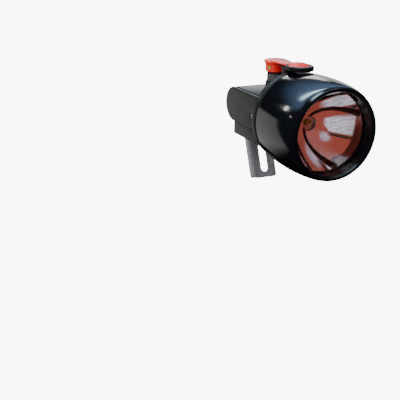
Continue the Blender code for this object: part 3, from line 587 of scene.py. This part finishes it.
def make_led():
    """The square package, its lit face sunk inside a rim."""
    low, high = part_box("led_package")
    bm = bmesh.new()
    bmesh.ops.create_cube(bm, size=1.0)
    bmesh.ops.scale(bm, vec=(CHIP * MM, high.y - low.y, CHIP * MM), verts=bm.verts)
    front = [f for f in bm.faces if f.normal.y < -0.5]
    bmesh.ops.inset_region(bm, faces=front, thickness=CHIP_RIM * MM, depth=-CHIP_DISH * MM)
    round_edges(bm, CHIP_ROUND, 35, 2)
    return finish_mesh(bm, "led_chip", Matrix.Translation((low + high) / 2))


dressed(make_led(), "phosphor", "lamp", "led_package")
dome_tip, dome_base = forward_of("led_dome")
dome_curve = arc((0, dome_base), dome_tip - dome_base, 90, 0, 14)
dome_outline = [(max(radius, 0), height) for radius, height in dome_curve] + [(0, dome_base)]
led_lens = turned("led_lens", dome_outline, forward_turn(), closed=False, steps=48)
dressed(led_lens, "silicone", "lamp", "led_dome")

# %% [markdown]
# ## Lens
# A flat disc of clear polycarbonate with its rim just broken, so that it slips past the seal.

# %% Lens
lens_front, lens_back = forward_of("front_lens")
lens_radius = lens_high.x / MM
lens_outline = [
    (0, lens_front), (lens_radius, lens_front), (lens_radius, lens_back), (0, lens_back),
]
lens = turned("lens_disc", lens_outline, forward_turn(), 0.3, closed=False, steps=96)
dressed(lens, "clear_lens", "lens_stack", "front_lens")

# %% [markdown]
# ## Head housing
# Behind the bezel shows only the housing's collar, with one groove for the finger grip. It is
# turned again with its corners rounded, as the bezel's rear edge casts its shadow there. The groove
# ahead of the collar holds the O-ring that seals the bezel.

# %% Head housing
HOUSING, COLLAR, HEAD_BACK, WALL, HOUSING_BORE = 29.2, 30.6, 46.0, 3.0, 26.4
RING_FRONT, RING_BACK, RING_DEPTH = 31.4, 34.2, 1.5
COLLAR_FRONT, GRIP_FRONT, GRIP_BACK, GRIP_DEPTH, GRIP_SLOPE = 36.6, 39.0, 41.0, 0.9, 0.5
FRONT_BREAK, BACK_BREAK = 0.4, 1.4
housing_front = forward_of("head_housing")[0]
housing_outline = [
    (0, -HEAD_BACK + WALL), (HOUSING_BORE, -HEAD_BACK + WALL), (HOUSING_BORE, housing_front),
    (HOUSING - FRONT_BREAK, housing_front), (HOUSING, housing_front - FRONT_BREAK),
    (HOUSING, -RING_FRONT), (HOUSING - RING_DEPTH, -RING_FRONT),
    (HOUSING - RING_DEPTH, -RING_BACK), (HOUSING, -RING_BACK),
    (HOUSING, -COLLAR_FRONT), (COLLAR, -COLLAR_FRONT),
    (COLLAR, -GRIP_FRONT), (COLLAR - GRIP_DEPTH, -GRIP_FRONT - GRIP_SLOPE),
    (COLLAR - GRIP_DEPTH, -GRIP_BACK + GRIP_SLOPE), (COLLAR, -GRIP_BACK),
    (COLLAR, -HEAD_BACK + BACK_BREAK), (COLLAR - GRIP_DEPTH, -HEAD_BACK), (0, -HEAD_BACK),
]
collar = turned("housing", housing_outline, forward_turn(), 0.18, closed=False, steps=128, angle=20)
dressed(collar, "case_charcoal", "lamp", "head_housing")

# %% [markdown]
# ## Screws
# Every screw that shows is a steel pan head with a cross recess. One helper turns the head and the
# plain shank and cuts the cross, so that the three kinds differ only in their sizes.

# %% Screw helper
CROSS_HALF, CROSS_DEPTH, CROSS_SHARE, HEAD_ROUND = 0.32, 0.55, 0.6, 0.55


def screw(name, slot_node, matrix, head, shank, seat, top, tip):
    """A screw whose own +Z points out of its head; radii and heights in millimetres."""
    dome = [(0, top), (head * 0.55, top - 0.04), (head * 0.85, top - 0.2), (head, top - HEAD_ROUND)]
    outline = dome + [(head, seat), (shank, seat), (shank, tip), (0, tip)]
    made = turned(name, outline, matrix, 0.08, closed=False, steps=48)
    arm = head * CROSS_SHARE
    for across, along in ((CROSS_HALF, arm), (arm, CROSS_HALF)):
        low = Vector((-across, -along, top - CROSS_DEPTH)) * MM
        high = Vector((across, along, top + 1.0)) * MM
        blade = box_piece("blade", low, high, 0)
        blade.data.transform(matrix)
        carve(made, blade)
    return dressed(made, "steel", "lamp", slot_node)


print("screw helper ready")

# %% [markdown]
# ## Battery case
# The case lies across the lamp with a flat top and bottom and a half-round back, so its outline is
# drawn once and extruded for the case and the two end caps. The caps' edges are rounded more, since
# they are what a glove rubs against.

# %% Battery case and end caps
CASE_TOP, CASE_RADIUS, CASE_ROUND = 13.9, 12.2, 86.0
CASE_AXIS = CASE_TOP - CASE_RADIUS
CASE_EDGE, CAP_EDGE, SEAM = 0.25, 0.9, 0.06
CAP_SCREW_BACK, CAP_SCREW_RISE = 57.7, -1.2
CAP_SCREW_HEAD, CAP_SCREW_SHANK, CAP_SCREW_THICK = 1.9, 1.1, 0.7
CAP_SINK, CAP_SINK_DEPTH = 2.3, 1.2


def case_outline(across, front):
    """The D section at one place across the lamp, as points in metres."""
    curve = arc((CASE_ROUND, CASE_AXIS), CASE_RADIUS, 90, -90, 48)
    section = [(front, CASE_AXIS + CASE_RADIUS), *curve, (front, CASE_AXIS - CASE_RADIUS)]
    return [spot(across, back, rise) for back, rise in section]


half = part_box("battery_case")[1].x / MM
case_front = -forward_of("battery_case")[0]
case_width = (2 * half * MM, 0, 0)
shell = moulded("case_shell", case_outline(-half, case_front), case_width, CASE_EDGE, 50, 2)
dressed(shell, "case_charcoal", "lamp", "battery_case")


def end_piece(side, label):
    """An end cap, rounded, with the seat for its screw sunk into it, and the screw."""
    inner, outer = reach_of(f"end_cap_{label}")
    section = case_outline(side * inner, HEAD_BACK + SEAM)
    cap = moulded(f"cap_{label}", section, (side * (outer - inner) * MM, 0, 0), CAP_EDGE, 50, 5)
    where = sideways(side, CAP_SCREW_BACK, CAP_SCREW_RISE)
    seat, above = outer - CAP_SINK_DEPTH, outer + 2
    sink = [(0, above), (CAP_SINK, above), (CAP_SINK, seat), (0, seat)]
    carve(cap, turned("sink", sink, where, closed=False, steps=48))
    dressed(cap, "case_charcoal", "lamp", f"end_cap_{label}")
    tip, top = reach_of(f"cap_screw_{label}")
    screw(
        f"cap_bolt_{label}", f"cap_screw_{label}", where,
        CAP_SCREW_HEAD, CAP_SCREW_SHANK, top - CAP_SCREW_THICK, top, tip,
    )


end_piece(-1, "left")
end_piece(1, "right")

# %% [markdown]
# ## Mounting block
# The block under the case carries the clip on a lug whose rear face leans with the helmet. Two
# screws come up through it into the case, their heads sunk in wide holes where a finger can't catch
# them.

# %% Mounting block
CLIP_LEAN = math.radians(22)
LEAN = Matrix.Rotation(-CLIP_LEAN, 4, "X")
CLIP_THICKNESS, CLEARANCE, LUG_HALF = 1.5, 0.3, 9.0
BLOCK_BACK, BLOCK_EDGE, LUG_EDGE = 87.0, 0.6, 0.5
BLOCK_SCREW_X, BLOCK_SCREW_BACK, BLOCK_SCREW_SINK, BLOCK_SCREW_WAY = 15.0, 66.0, 2.4, 2.8
SCREW_HEAD, SCREW_SHANK, BLOCK_SCREW_THICK = 2.4, 1.2, 1.6
block_low, block_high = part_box("clip_block")
block_far = Vector((block_high.x, spot(0, BLOCK_BACK, 0).y, block_high.z))


def lug_point(height):
    """The rear face of the lug at one height, in metres."""
    clear = (CLIP_THICKNESS + CLEARANCE) * MM / math.cos(CLIP_LEAN)
    return Vector((-LUG_HALF * MM, height * math.tan(CLIP_LEAN) - clear, height))


inner_y = block_far.y - 2 * MM
lug_outline = [
    Vector((-LUG_HALF * MM, inner_y, block_high.z)), lug_point(block_high.z),
    lug_point(block_low.z), Vector((-LUG_HALF * MM, inner_y, block_low.z)),
]
block_near = Vector((block_low.x, spot(0, HEAD_BACK + SEAM, 0).y, block_low.z))
block = box_piece("mounting_block", block_near, block_far, BLOCK_EDGE, 4)
lug = moulded("lug", lug_outline, (2 * LUG_HALF * MM, 0, 0), LUG_EDGE, 35, 3)
carve(block, lug, "UNION")
block_foot = rise_of("clip_block")[0]
way_top, way_seat = 2 - block_foot, -BLOCK_SCREW_SINK - block_foot
way = [(0, way_top), (BLOCK_SCREW_WAY, way_top), (BLOCK_SCREW_WAY, way_seat), (0, way_seat)]
for label, side in (("left", -1), ("right", 1)):
    where = upright(side * BLOCK_SCREW_X, BLOCK_SCREW_BACK) @ Matrix.Rotation(math.pi, 4, "X")
    carve(block, turned("way", way, where, closed=False, steps=48))
    top, tip = (-rise for rise in rise_of(f"block_screw_{label}"))
    screw(
        f"block_bolt_{label}", f"block_screw_{label}", where,
        SCREW_HEAD, SCREW_SHANK, top - BLOCK_SCREW_THICK, top, tip,
    )
dressed(block, "case_charcoal", "lamp", "clip_block")

# %% [markdown]
# ## Clip
# The clip is a pressed steel channel. A flat strip is slotted, its two sides are folded back
# towards the helmet, and its lower corners are rounded so that it slips into a bracket. The folds
# keep the round of the press tool, and the cut edges are only just broken. Two screws hold the clip
# to the lug.

# %% Clip
CLIP_HALF, CLIP_ABOVE, CLIP_BELOW, CLIP_FLANGE, FLANGE_TOP = 9.6, 14.2, 31.3, 5.0, 4.7
CLIP_CORNER, CLIP_EDGE, FOLD = 3.5, 0.18, 2.1
SLOT_HALF, SLOT_LOW, SLOT_HIGH = 3.0, -27.2, -6.4
CLIP_SCREW_X, CLIP_SCREW_ALONG, CLIP_SCREW_TOP, CLIP_SCREW_TIP = 5.6, 9.49, 1.7, -6.8
PAST = 3


def clip_point(across, depth, along):
    """A point from the clip's own directions: across, behind its rear face, and up its length."""
    return LEAN @ (Vector((across, depth, along)) * MM)


def clip_section():
    """The channel's section as (across, depth), with the folds rounded inside and out."""
    half, thick, flange = CLIP_HALF, CLIP_THICKNESS, CLIP_FLANGE
    inside = half - thick
    centre = half - FOLD
    deep = FOLD - thick
    outer = arc((centre, deep), FOLD, -90, 0, 8)
    inner = arc((centre, deep), deep, 0, -90, 6)
    right = [*outer, (half, flange), (inside, flange), *inner]
    left = [(-x, depth) for x, depth in reversed(right)]
    return right + left


def punch(outline, low, high):
    """A punch through the clip: an outline of (across, along) points between two depths."""
    points = [clip_point(x, low, along) for x, along in outline]
    return moulded("punch", points, clip_point(0, high, 0) - clip_point(0, low, 0))


def make_clip():
    """The channel, its flanges cut short above, rounded below and slotted."""
    section = [clip_point(x, depth, -CLIP_BELOW) for x, depth in clip_section()]
    length = clip_point(0, 0, CLIP_ABOVE) - clip_point(0, 0, -CLIP_BELOW)
    clip = moulded("steel_clip", section, length)
    wide, high = CLIP_HALF + PAST, CLIP_ABOVE + PAST
    above = [(-wide, FLANGE_TOP), (wide, FLANGE_TOP), (wide, high), (-wide, high)]
    carve(clip, punch(above, 0, CLIP_FLANGE + PAST))
    for side in (-1, 1):
        centre = (side * (CLIP_HALF - CLIP_CORNER), CLIP_CORNER - CLIP_BELOW)
        curve = arc(centre, CLIP_CORNER, 270, 270 + side * 90, 12)
        foot = -CLIP_BELOW - PAST
        outside = [(side * wide, centre[1]), (side * wide, foot), (centre[0], foot)]
        carve(clip, punch(curve + outside, -CLIP_THICKNESS - PAST, CLIP_FLANGE + PAST))
    slot = arc((0, SLOT_LOW + SLOT_HALF), SLOT_HALF, 180, 360, 20)
    slot += arc((0, SLOT_HIGH - SLOT_HALF), SLOT_HALF, 0, 180, 20)
    carve(clip, punch(slot, -CLIP_THICKNESS - PAST, PAST))
    return rounded(clip, CLIP_EDGE, 60, 2)


dressed(make_clip(), "steel", "lamp", "clip_plate")
for label, side in (("left", -1), ("right", 1)):
    hole = Vector((side * CLIP_SCREW_X, 0, CLIP_SCREW_ALONG)) * MM
    where = LEAN @ Matrix.Translation(hole) @ Matrix.Rotation(math.radians(-90), 4, "X")
    screw(
        f"clip_bolt_{label}", f"clip_screw_{label}", where,
        SCREW_HEAD, SCREW_SHANK, CLEARANCE, CLIP_SCREW_TOP, CLIP_SCREW_TIP,
    )

# %% [markdown]
# ## Selector switch
# On top of the case stands the switch. Its black boss and grey column are fixed; the red knob, its
# tongue and the black lever turn together about the column's upright axis. The boss and the thumb
# pad share one outline shape, a stadium, so that shape gets its own helper.

# %% Boss, column and seal
TURRET_BACK, PAD_BACK = 69.0, 38.0
BOSS_FRONT, BOSS_BACK, BOSS_HALF, BOSS_EDGE = 46.3, 76.0, 7.0, 0.7
COLUMN_RADIUS, COLUMN_RIM, COLUMN_BORE, COLUMN_FLOOR, SHAFT_BORE = 6.1, 4.7, 3.8, 2.0, 2.45
SEAL_INNER, SEAL_OUTER = 4.0, 6.0


def stadium(front, back, half_width, rise):
    """An outline with round ends at one height, as points in metres."""
    outline = arc((0, back - half_width), half_width, 0, 180, 32)
    outline += arc((0, front + half_width), half_width, 180, 360, 32)
    return [spot(x, y, rise) for x, y in outline]


boss_foot, boss_top = rise_of("switch_boss")
boss_outline = stadium(BOSS_FRONT, BOSS_BACK, BOSS_HALF, boss_foot)
boss = moulded("boss", boss_outline, (0, 0, (boss_top - boss_foot) * MM), BOSS_EDGE, 50, 4)
dressed(boss, "boss_black", "lamp", "switch_boss")

foot, head = rise_of("switch_column")
column_outline = [
    (COLUMN_RIM, head), (COLUMN_RADIUS, head), (COLUMN_RADIUS, foot), (SHAFT_BORE, foot),
    (SHAFT_BORE, foot + COLUMN_FLOOR), (COLUMN_BORE, foot + COLUMN_FLOOR), (COLUMN_BORE, head),
]
column = turned("column", column_outline, upright(0, TURRET_BACK), 0.3, steps=72)
dressed(column, "column_grey", "lamp", "switch_column")

low, high = rise_of("knob_seal")
seal_outline = [(SEAL_INNER, low), (SEAL_OUTER, low), (SEAL_OUTER, high), (SEAL_INNER, high)]
seal = turned("wiper_seal", seal_outline, upright(0, TURRET_BACK), 0.25, steps=72)
dressed(seal, "rubber_black", "lamp", "knob_seal")

# %% [markdown]
# The knob is a moulded drum with a lip for the fingers. Its tongue reaches forward over the lever's
# bar and tells the thumb which way the lever points. A brass cup sits in each side of the drum.

# %% Knob and contacts
KNOB_LIP, KNOB_WAIST, KNOB_FOOT, KNOB_END = 8.4, 7.4, 7.2, 6.7
TONGUE = [(-6.6, 66.0), (6.6, 66.0), (4.4, 48.7), (3.2, 47.6), (-3.2, 47.6), (-4.4, 48.7)]
TONGUE_DROP, TONGUE_THICKNESS = 0.85, 0.8
CONTACT_RISE, CONTACT_TURN, CONTACT_RADIUS, CONTACT_BORE = 3.1, 21, 1.45, 0.85
CONTACT_FOOT, CONTACT_FLOOR, CONTACT_MOUTH = 4.5, 5.3, 7.5
POCKET_RADIUS, POCKET_FLOOR, POCKET_OUT = CONTACT_RADIUS + 0.3, CONTACT_FOOT - 0.3, 12.0
SHAFT_ROOM, SHAFT_ROOM_TOP = 2.7, 31.9
knob_foot, knob_top = rise_of("selector_knob")
knob_outline = [
    (0, knob_top), (5.2, knob_top - 0.12), (7.8, knob_top - 0.4), (KNOB_LIP, knob_top - 0.9),
    (KNOB_LIP, knob_top - 1.9), (7.6, knob_top - 2.5), (KNOB_WAIST, knob_top - 4.1),
    (KNOB_FOOT, knob_foot + 0.4), (KNOB_END, knob_foot), (0, knob_foot),
]
knob = turned("knob", knob_outline, upright(0, TURRET_BACK), 0.22, closed=False, steps=96, angle=25)
tongue_outline = [spot(x, back, knob_top - TONGUE_DROP) for x, back in TONGUE]
tongue = moulded("tongue", tongue_outline, (0, 0, TONGUE_THICKNESS * MM), 0.2, 30, 3)
carve(knob, tongue, "UNION")
pocket_outline = [
    (0, POCKET_FLOOR), (POCKET_RADIUS, POCKET_FLOOR), (POCKET_RADIUS, POCKET_OUT), (0, POCKET_OUT),
]
cup_outline = [
    (0, CONTACT_FLOOR), (CONTACT_BORE, CONTACT_FLOOR), (CONTACT_BORE, CONTACT_MOUTH),
    (CONTACT_RADIUS, CONTACT_MOUTH), (CONTACT_RADIUS, CONTACT_FOOT), (0, CONTACT_FOOT),
]
contact_place = Matrix.Translation(spot(0, TURRET_BACK, knob_foot + CONTACT_RISE))
for label, side in (("left", -1), ("right", 1)):
    forward = Matrix.Rotation(math.radians(-side * CONTACT_TURN), 4, "Z")
    outward = Matrix.Rotation(math.radians(side * 90), 4, "Y")
    where = contact_place @ forward @ outward
    carve(knob, turned("pocket", pocket_outline, where, closed=False, steps=40))
    contact = turned(f"contact_{label}", cup_outline, where, 0.12, closed=False, steps=40)
    dressed(contact, "brass", "lever", f"charge_contact_{label}")
room_foot = knob_foot - 2
room = [(0, room_foot), (SHAFT_ROOM, room_foot), (SHAFT_ROOM, SHAFT_ROOM_TOP), (0, SHAFT_ROOM_TOP)]
carve(knob, turned("shaft_room", room, upright(0, TURRET_BACK), closed=False, steps=40))
dressed(knob, "switch_red", "lever", "selector_knob")

# %% [markdown]
# The lever is one black moulding: a thick thumb pad, a thin bar running back under the tongue, and
# a skirt below the bar that hides the gap over the boss. The red inlay is a separate domed disc,
# pressed into a round dish, and the narrow gap round it is what lets it read as its own piece.

# %% Lever and inlay
PAD_FRONT, PAD_REAR, PAD_RADIUS, PAD_THICKNESS, PAD_EDGE = 26.5, 47.0, 9.0, 3.2, 0.8
BAR_HALF, BAR_FRONT, BAR_REAR, BAR_THICKNESS = 3.9, 44.6, 60.1, 1.0
SKIRT_HALF, SKIRT_FRONT, SKIRT_REAR, SKIRT_LAP, BAR_EDGE = 3.7, 48.6, 54.4, 0.6, 0.25
DISH_RADIUS, DISH_DEPTH, DISH_BREAK, DISH_LIP = 7.5, 1.6, 0.3, 0.05
INLAY_RADIUS, INLAY_FALL = 7.2, 1.9
lever_foot, lever_top = rise_of("lever_arm")
pad_foot = lever_top - PAD_THICKNESS
pad_outline = stadium(PAD_FRONT, PAD_REAR, PAD_RADIUS, pad_foot)
pad = moulded("lever", pad_outline, (0, 0, PAD_THICKNESS * MM), PAD_EDGE, 50, 5)
bar_low = spot(-BAR_HALF, BAR_FRONT, pad_foot)
bar_high = spot(BAR_HALF, BAR_REAR, pad_foot + BAR_THICKNESS)
carve(pad, box_piece("bar", bar_low, bar_high, BAR_EDGE), "UNION")
skirt_low = spot(-SKIRT_HALF, SKIRT_FRONT, lever_foot)
skirt_high = spot(SKIRT_HALF, SKIRT_REAR, pad_foot + SKIRT_LAP)
carve(pad, box_piece("skirt", skirt_low, skirt_high, BAR_EDGE), "UNION")
dish_floor, dish_top, dish_wide = lever_top - DISH_DEPTH, lever_top + 3, DISH_RADIUS + DISH_BREAK
dish = [
    (0, dish_floor), (DISH_RADIUS, dish_floor), (DISH_RADIUS, lever_top + DISH_LIP - DISH_BREAK),
    (dish_wide, lever_top + DISH_LIP), (dish_wide, dish_top), (0, dish_top),
]
carve(pad, turned("dish", dish, upright(0, PAD_BACK), closed=False, steps=96))
dressed(pad, "boss_black", "lever", "lever_arm")

inlay_foot, crown = rise_of("lever_inlay")
dome = [(INLAY_RADIUS * t / 16, crown - INLAY_FALL * (t / 16) ** 3) for t in range(17)]
dome += [(INLAY_RADIUS, inlay_foot), (0, inlay_foot)]
inlay = turned("thumb_pad", dome, upright(0, PAD_BACK), 0.15, closed=False, steps=96, angle=45)
dressed(inlay, "switch_red", "lever", "lever_inlay")

# %% [markdown]
# ## Floor and light
# The floor and the world are plain and pale; the world and two large soft lights shade the lamp.
# Gloss needs something else: a polished surface shows whatever stands around it, so reflections are
# arranged on their own, as cards that only glossy or clear surfaces can see. The floor, the world
# and the lights are hidden from gloss, like a studio hung with black cloth.

# %% Floor and shading lights
MIDDLE = spot(0, 40, 0)
FLOOR_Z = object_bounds()[0][2] - 0.09
FLOOR_SIZE, FLOOR_GLOW, WORLD_GLOW, WORLD_SEEN = 12, 8.0, 0.9, 9.0


def stage_plane(name, size, matrix):
    """A flat rectangle that belongs to the setting, with its object and its material's nodes."""
    bm = bmesh.new()
    bmesh.ops.create_grid(bm, x_segments=1, y_segments=1, size=0.5)
    bmesh.ops.scale(bm, vec=(size[0], size[1], 1), verts=bm.verts)
    mesh = bpy.data.meshes.new(name)
    bm.to_mesh(mesh)
    bm.free()
    plane = bpy.data.objects.new(name, mesh)
    plane.matrix_world = matrix
    bpy.context.scene.collection.objects.link(plane)
    surface = bpy.data.materials.new(name)
    surface.use_nodes = True
    mesh.materials.append(surface)
    return plane, surface.node_tree


def soft_light(name, size, location, power):
    """A large lamp that faces the model and is seen by nothing but its diffuse surfaces."""
    data = bpy.data.lights.new(name, "AREA")
    data.shape = "RECTANGLE"
    data.size, data.size_y = size
    data.energy = power
    light = bpy.data.objects.new(name, data)
    light.location = location
    light.rotation_euler = (Vector(location) - MIDDLE).to_track_quat("Z", "Y").to_euler()
    light.visible_camera = False
    light.visible_glossy = False
    light.visible_transmission = False
    bpy.context.scene.collection.objects.link(light)


floor, floor_tree = stage_plane(
    "floor", (FLOOR_SIZE, FLOOR_SIZE), Matrix.Translation((0, 0, FLOOR_Z)),
)
floor_inputs = floor_tree.nodes["Principled BSDF"].inputs
floor_inputs["Base Color"].default_value = (0.92, 0.92, 0.92, 1)
floor_inputs["Roughness"].default_value = 0.8
floor_inputs["Emission Color"].default_value = (1, 1, 1, 1)
floor_inputs["Emission Strength"].default_value = FLOOR_GLOW
floor.visible_diffuse = False
floor.visible_glossy = False
floor.visible_transmission = False
soft_light("top_softbox", (0.6, 0.5), (-0.35, -0.25, 0.85), 7)
soft_light("left_softbox", (0.5, 0.5), (-0.9, -0.1, 0.25), 3)

world = bpy.data.worlds.new("studio")
bpy.context.scene.world = world
world.use_nodes = True
backdrop = world.node_tree.nodes["Background"]
backdrop.inputs["Color"].default_value = (1.0, 1.0, 1.0, 1)
path = world.node_tree.nodes.new("ShaderNodeLightPath")
brighter = world.node_tree.nodes.new("ShaderNodeMapRange")
brighter.inputs["To Min"].default_value = WORLD_GLOW
brighter.inputs["To Max"].default_value = WORLD_SEEN
world.node_tree.links.new(path.outputs["Is Camera Ray"], brighter.inputs["Value"])
world.node_tree.links.new(brighter.outputs["Result"], backdrop.inputs["Strength"])
world.cycles_visibility.glossy = False
world.cycles_visibility.transmission = False
print("floor at", round(FLOOR_Z, 3))

# %% [markdown]
# Each card is placed by its direction from the lamp, and fades out at its edges by as much as it
# is told to. A hard edge on one side gives the sharp boundary that polished plastic shows along a
# barrel. Cards for the gloss are seen by reflection only; cards for the mirror are seen only
# through the lens.

# %% Reflection cards
def edge(tree, value, start, end):
    """A smooth rise from nothing to full between two places."""
    mapped = tree.nodes.new("ShaderNodeMapRange")
    mapped.interpolation_type = "SMOOTHSTEP"
    mapped.inputs["From Min"].default_value = start
    mapped.inputs["From Max"].default_value = end
    tree.links.new(value, mapped.inputs["Value"])
    return mapped.outputs["Result"]


def times(tree, first, second):
    """The product of two values."""
    node = tree.nodes.new("ShaderNodeMath")
    node.operation = "MULTIPLY"
    tree.links.new(first, node.inputs[0])
    tree.links.new(second, node.inputs[1])
    return node.outputs["Value"]


CARD_DISTANCE, HARD_EDGE = 2.0, 0.002
SKY, COOL, WARM = (0.36, 0.58, 1.0), (0.60, 0.84, 1.0), (0.42, 0.085, 0.06)
WHITE, PALE, LILAC, VIOLET = (1, 1, 1), (0.95, 0.98, 1.0), (0.93, 0.90, 1.0), (0.80, 0.82, 1.0)
CRISP, SOFT, SOFTEST = (0.02,) * 4, (0.3,) * 4, (0.4,) * 4


def streaked(tree, vector, angle):
    """Bright and dark streaks across a card, turned by an angle in degrees."""
    mapping = tree.nodes.new("ShaderNodeMapping")
    mapping.inputs["Scale"].default_value = (1.0, 4.5, 1.0)
    mapping.inputs["Rotation"].default_value = (0, 0, math.radians(angle))
    tree.links.new(vector, mapping.inputs["Vector"])
    return edge(tree, noise(tree, mapping.outputs["Vector"], 2.6, 5.0, 0.6), 0.38, 0.56)


def card(name, azimuth, elevation, spread_by, strength, colour, fades,
         mirror=False, streaks=0.0, turn=0.0, nearer=0.0):
    """A glowing card, by its direction and spread in degrees; it fades left, right, down and up."""
    turn_z, turn_x = math.radians(azimuth), math.radians(elevation)
    level = math.cos(turn_x)
    away = Vector((math.sin(turn_z) * level, -math.cos(turn_z) * level, math.sin(turn_x)))
    distance = CARD_DISTANCE - nearer
    facing = (-away).to_track_quat("Z", "Y").to_matrix().to_4x4()
    place = Matrix.Translation(MIDDLE + away * distance)
    matrix = place @ facing @ Matrix.Rotation(math.radians(turn), 4, "Z")
    width, height = [2 * distance * math.tan(math.radians(angle / 2)) for angle in spread_by]
    plane, tree = stage_plane(name, (width, height), matrix)
    tree.nodes.remove(tree.nodes["Principled BSDF"])
    where = tree.nodes.new("ShaderNodeTexCoord")
    split = tree.nodes.new("ShaderNodeSeparateXYZ")
    tree.links.new(where.outputs["Object"], split.inputs["Vector"])
    left, right, down, up = [max(fade, HARD_EDGE) for fade in fades]
    cover = edge(tree, split.outputs["X"], -width / 2, (left - 0.5) * width)
    cover = times(tree, cover, edge(tree, split.outputs["X"], width / 2, (0.5 - right) * width))
    cover = times(tree, cover, edge(tree, split.outputs["Y"], -height / 2, (down - 0.5) * height))
    cover = times(tree, cover, edge(tree, split.outputs["Y"], height / 2, (0.5 - up) * height))
    if streaks:
        cover = times(tree, cover, streaked(tree, where.outputs["Object"], streaks))
    glow = tree.nodes.new("ShaderNodeEmission")
    glow.inputs["Color"].default_value = (*colour, 1)
    glow.inputs["Strength"].default_value = strength
    clear = tree.nodes.new("ShaderNodeBsdfTransparent")
    mix = tree.nodes.new("ShaderNodeMixShader")
    tree.links.new(cover, mix.inputs["Fac"])
    tree.links.new(clear.outputs["BSDF"], mix.inputs[1])
    tree.links.new(glow.outputs["Emission"], mix.inputs[2])
    tree.links.new(mix.outputs["Shader"], tree.nodes["Material Output"].inputs["Surface"])
    plane.visible_camera = False
    plane.visible_diffuse = False
    plane.visible_shadow = False
    plane.visible_volume_scatter = False
    plane.visible_glossy = not mirror
    plane.visible_transmission = mirror


card("sky", 172, 44, (95, 38), 1.25, SKY, (0.15, 0.2, 0.6, 0.1))
card("streak", -176, 52, (48, 10), 14, COOL, (0.25, 0.4, 0.6, 0.25), turn=26, nearer=0.1)
card("window", -145, 22, (4, 9), 14, WHITE, (0.4, 0.4, 0.3, 0.3), turn=-20, nearer=0.1)
card("window_low", -133, 17, (2.5, 4), 7, WHITE, SOFTEST, nearer=0.1)
card("left_wall", -161, -17, (38, 42), 0.55, (0.97, 1.0, 0.96), (0.02, 0.02, 0.3, 0.04))
card("back_wall", 146, 0, (38, 40), 0.85, WHITE, (0.05, 0.2, 0.3, 0.1))
card("case_glow", 156, 19, (24, 14), 3.4, (0.97, 0.96, 1.0), (0.2, 0.3, 0.3, 0.3), nearer=0.1)
card("zenith", -90, 80, (60, 34), 7, COOL, SOFT)
card("overhead", 20, 70, (70, 14), 5, COOL, SOFT)
card("front_card", 24, 25, (46, 26), 0.55, PALE, SOFT)

card("room", -15, 5, (150, 120), 0.95, WARM, CRISP, mirror=True)
card(
    "bright_side", -50, -14, (66, 52), 0.42, (0.95, 0.93, 1.0), (0.1, 0.2, 0.2, 0.03),
    mirror=True, nearer=0.2,
)
card(
    "side_streaks", -46, -14, (72, 50), 1.1, LILAC, (0.2, 0.2, 0.2, 0.1),
    mirror=True, streaks=15, nearer=0.25,
)
card("dark_band", -52, 17, (60, 9), 0.02, WHITE, (0.05, 0.1, 0.3, 0.1), mirror=True, nearer=0.3)
card(
    "low_streaks", -12, 24, (36, 34), 0.9, VIOLET, SOFTEST,
    mirror=True, streaks=-50, nearer=0.35,
)
meshes = [obj for obj in bpy.data.objects if obj.type == "MESH"]
print("cards:", sum(1 for obj in meshes if not obj.visible_camera))
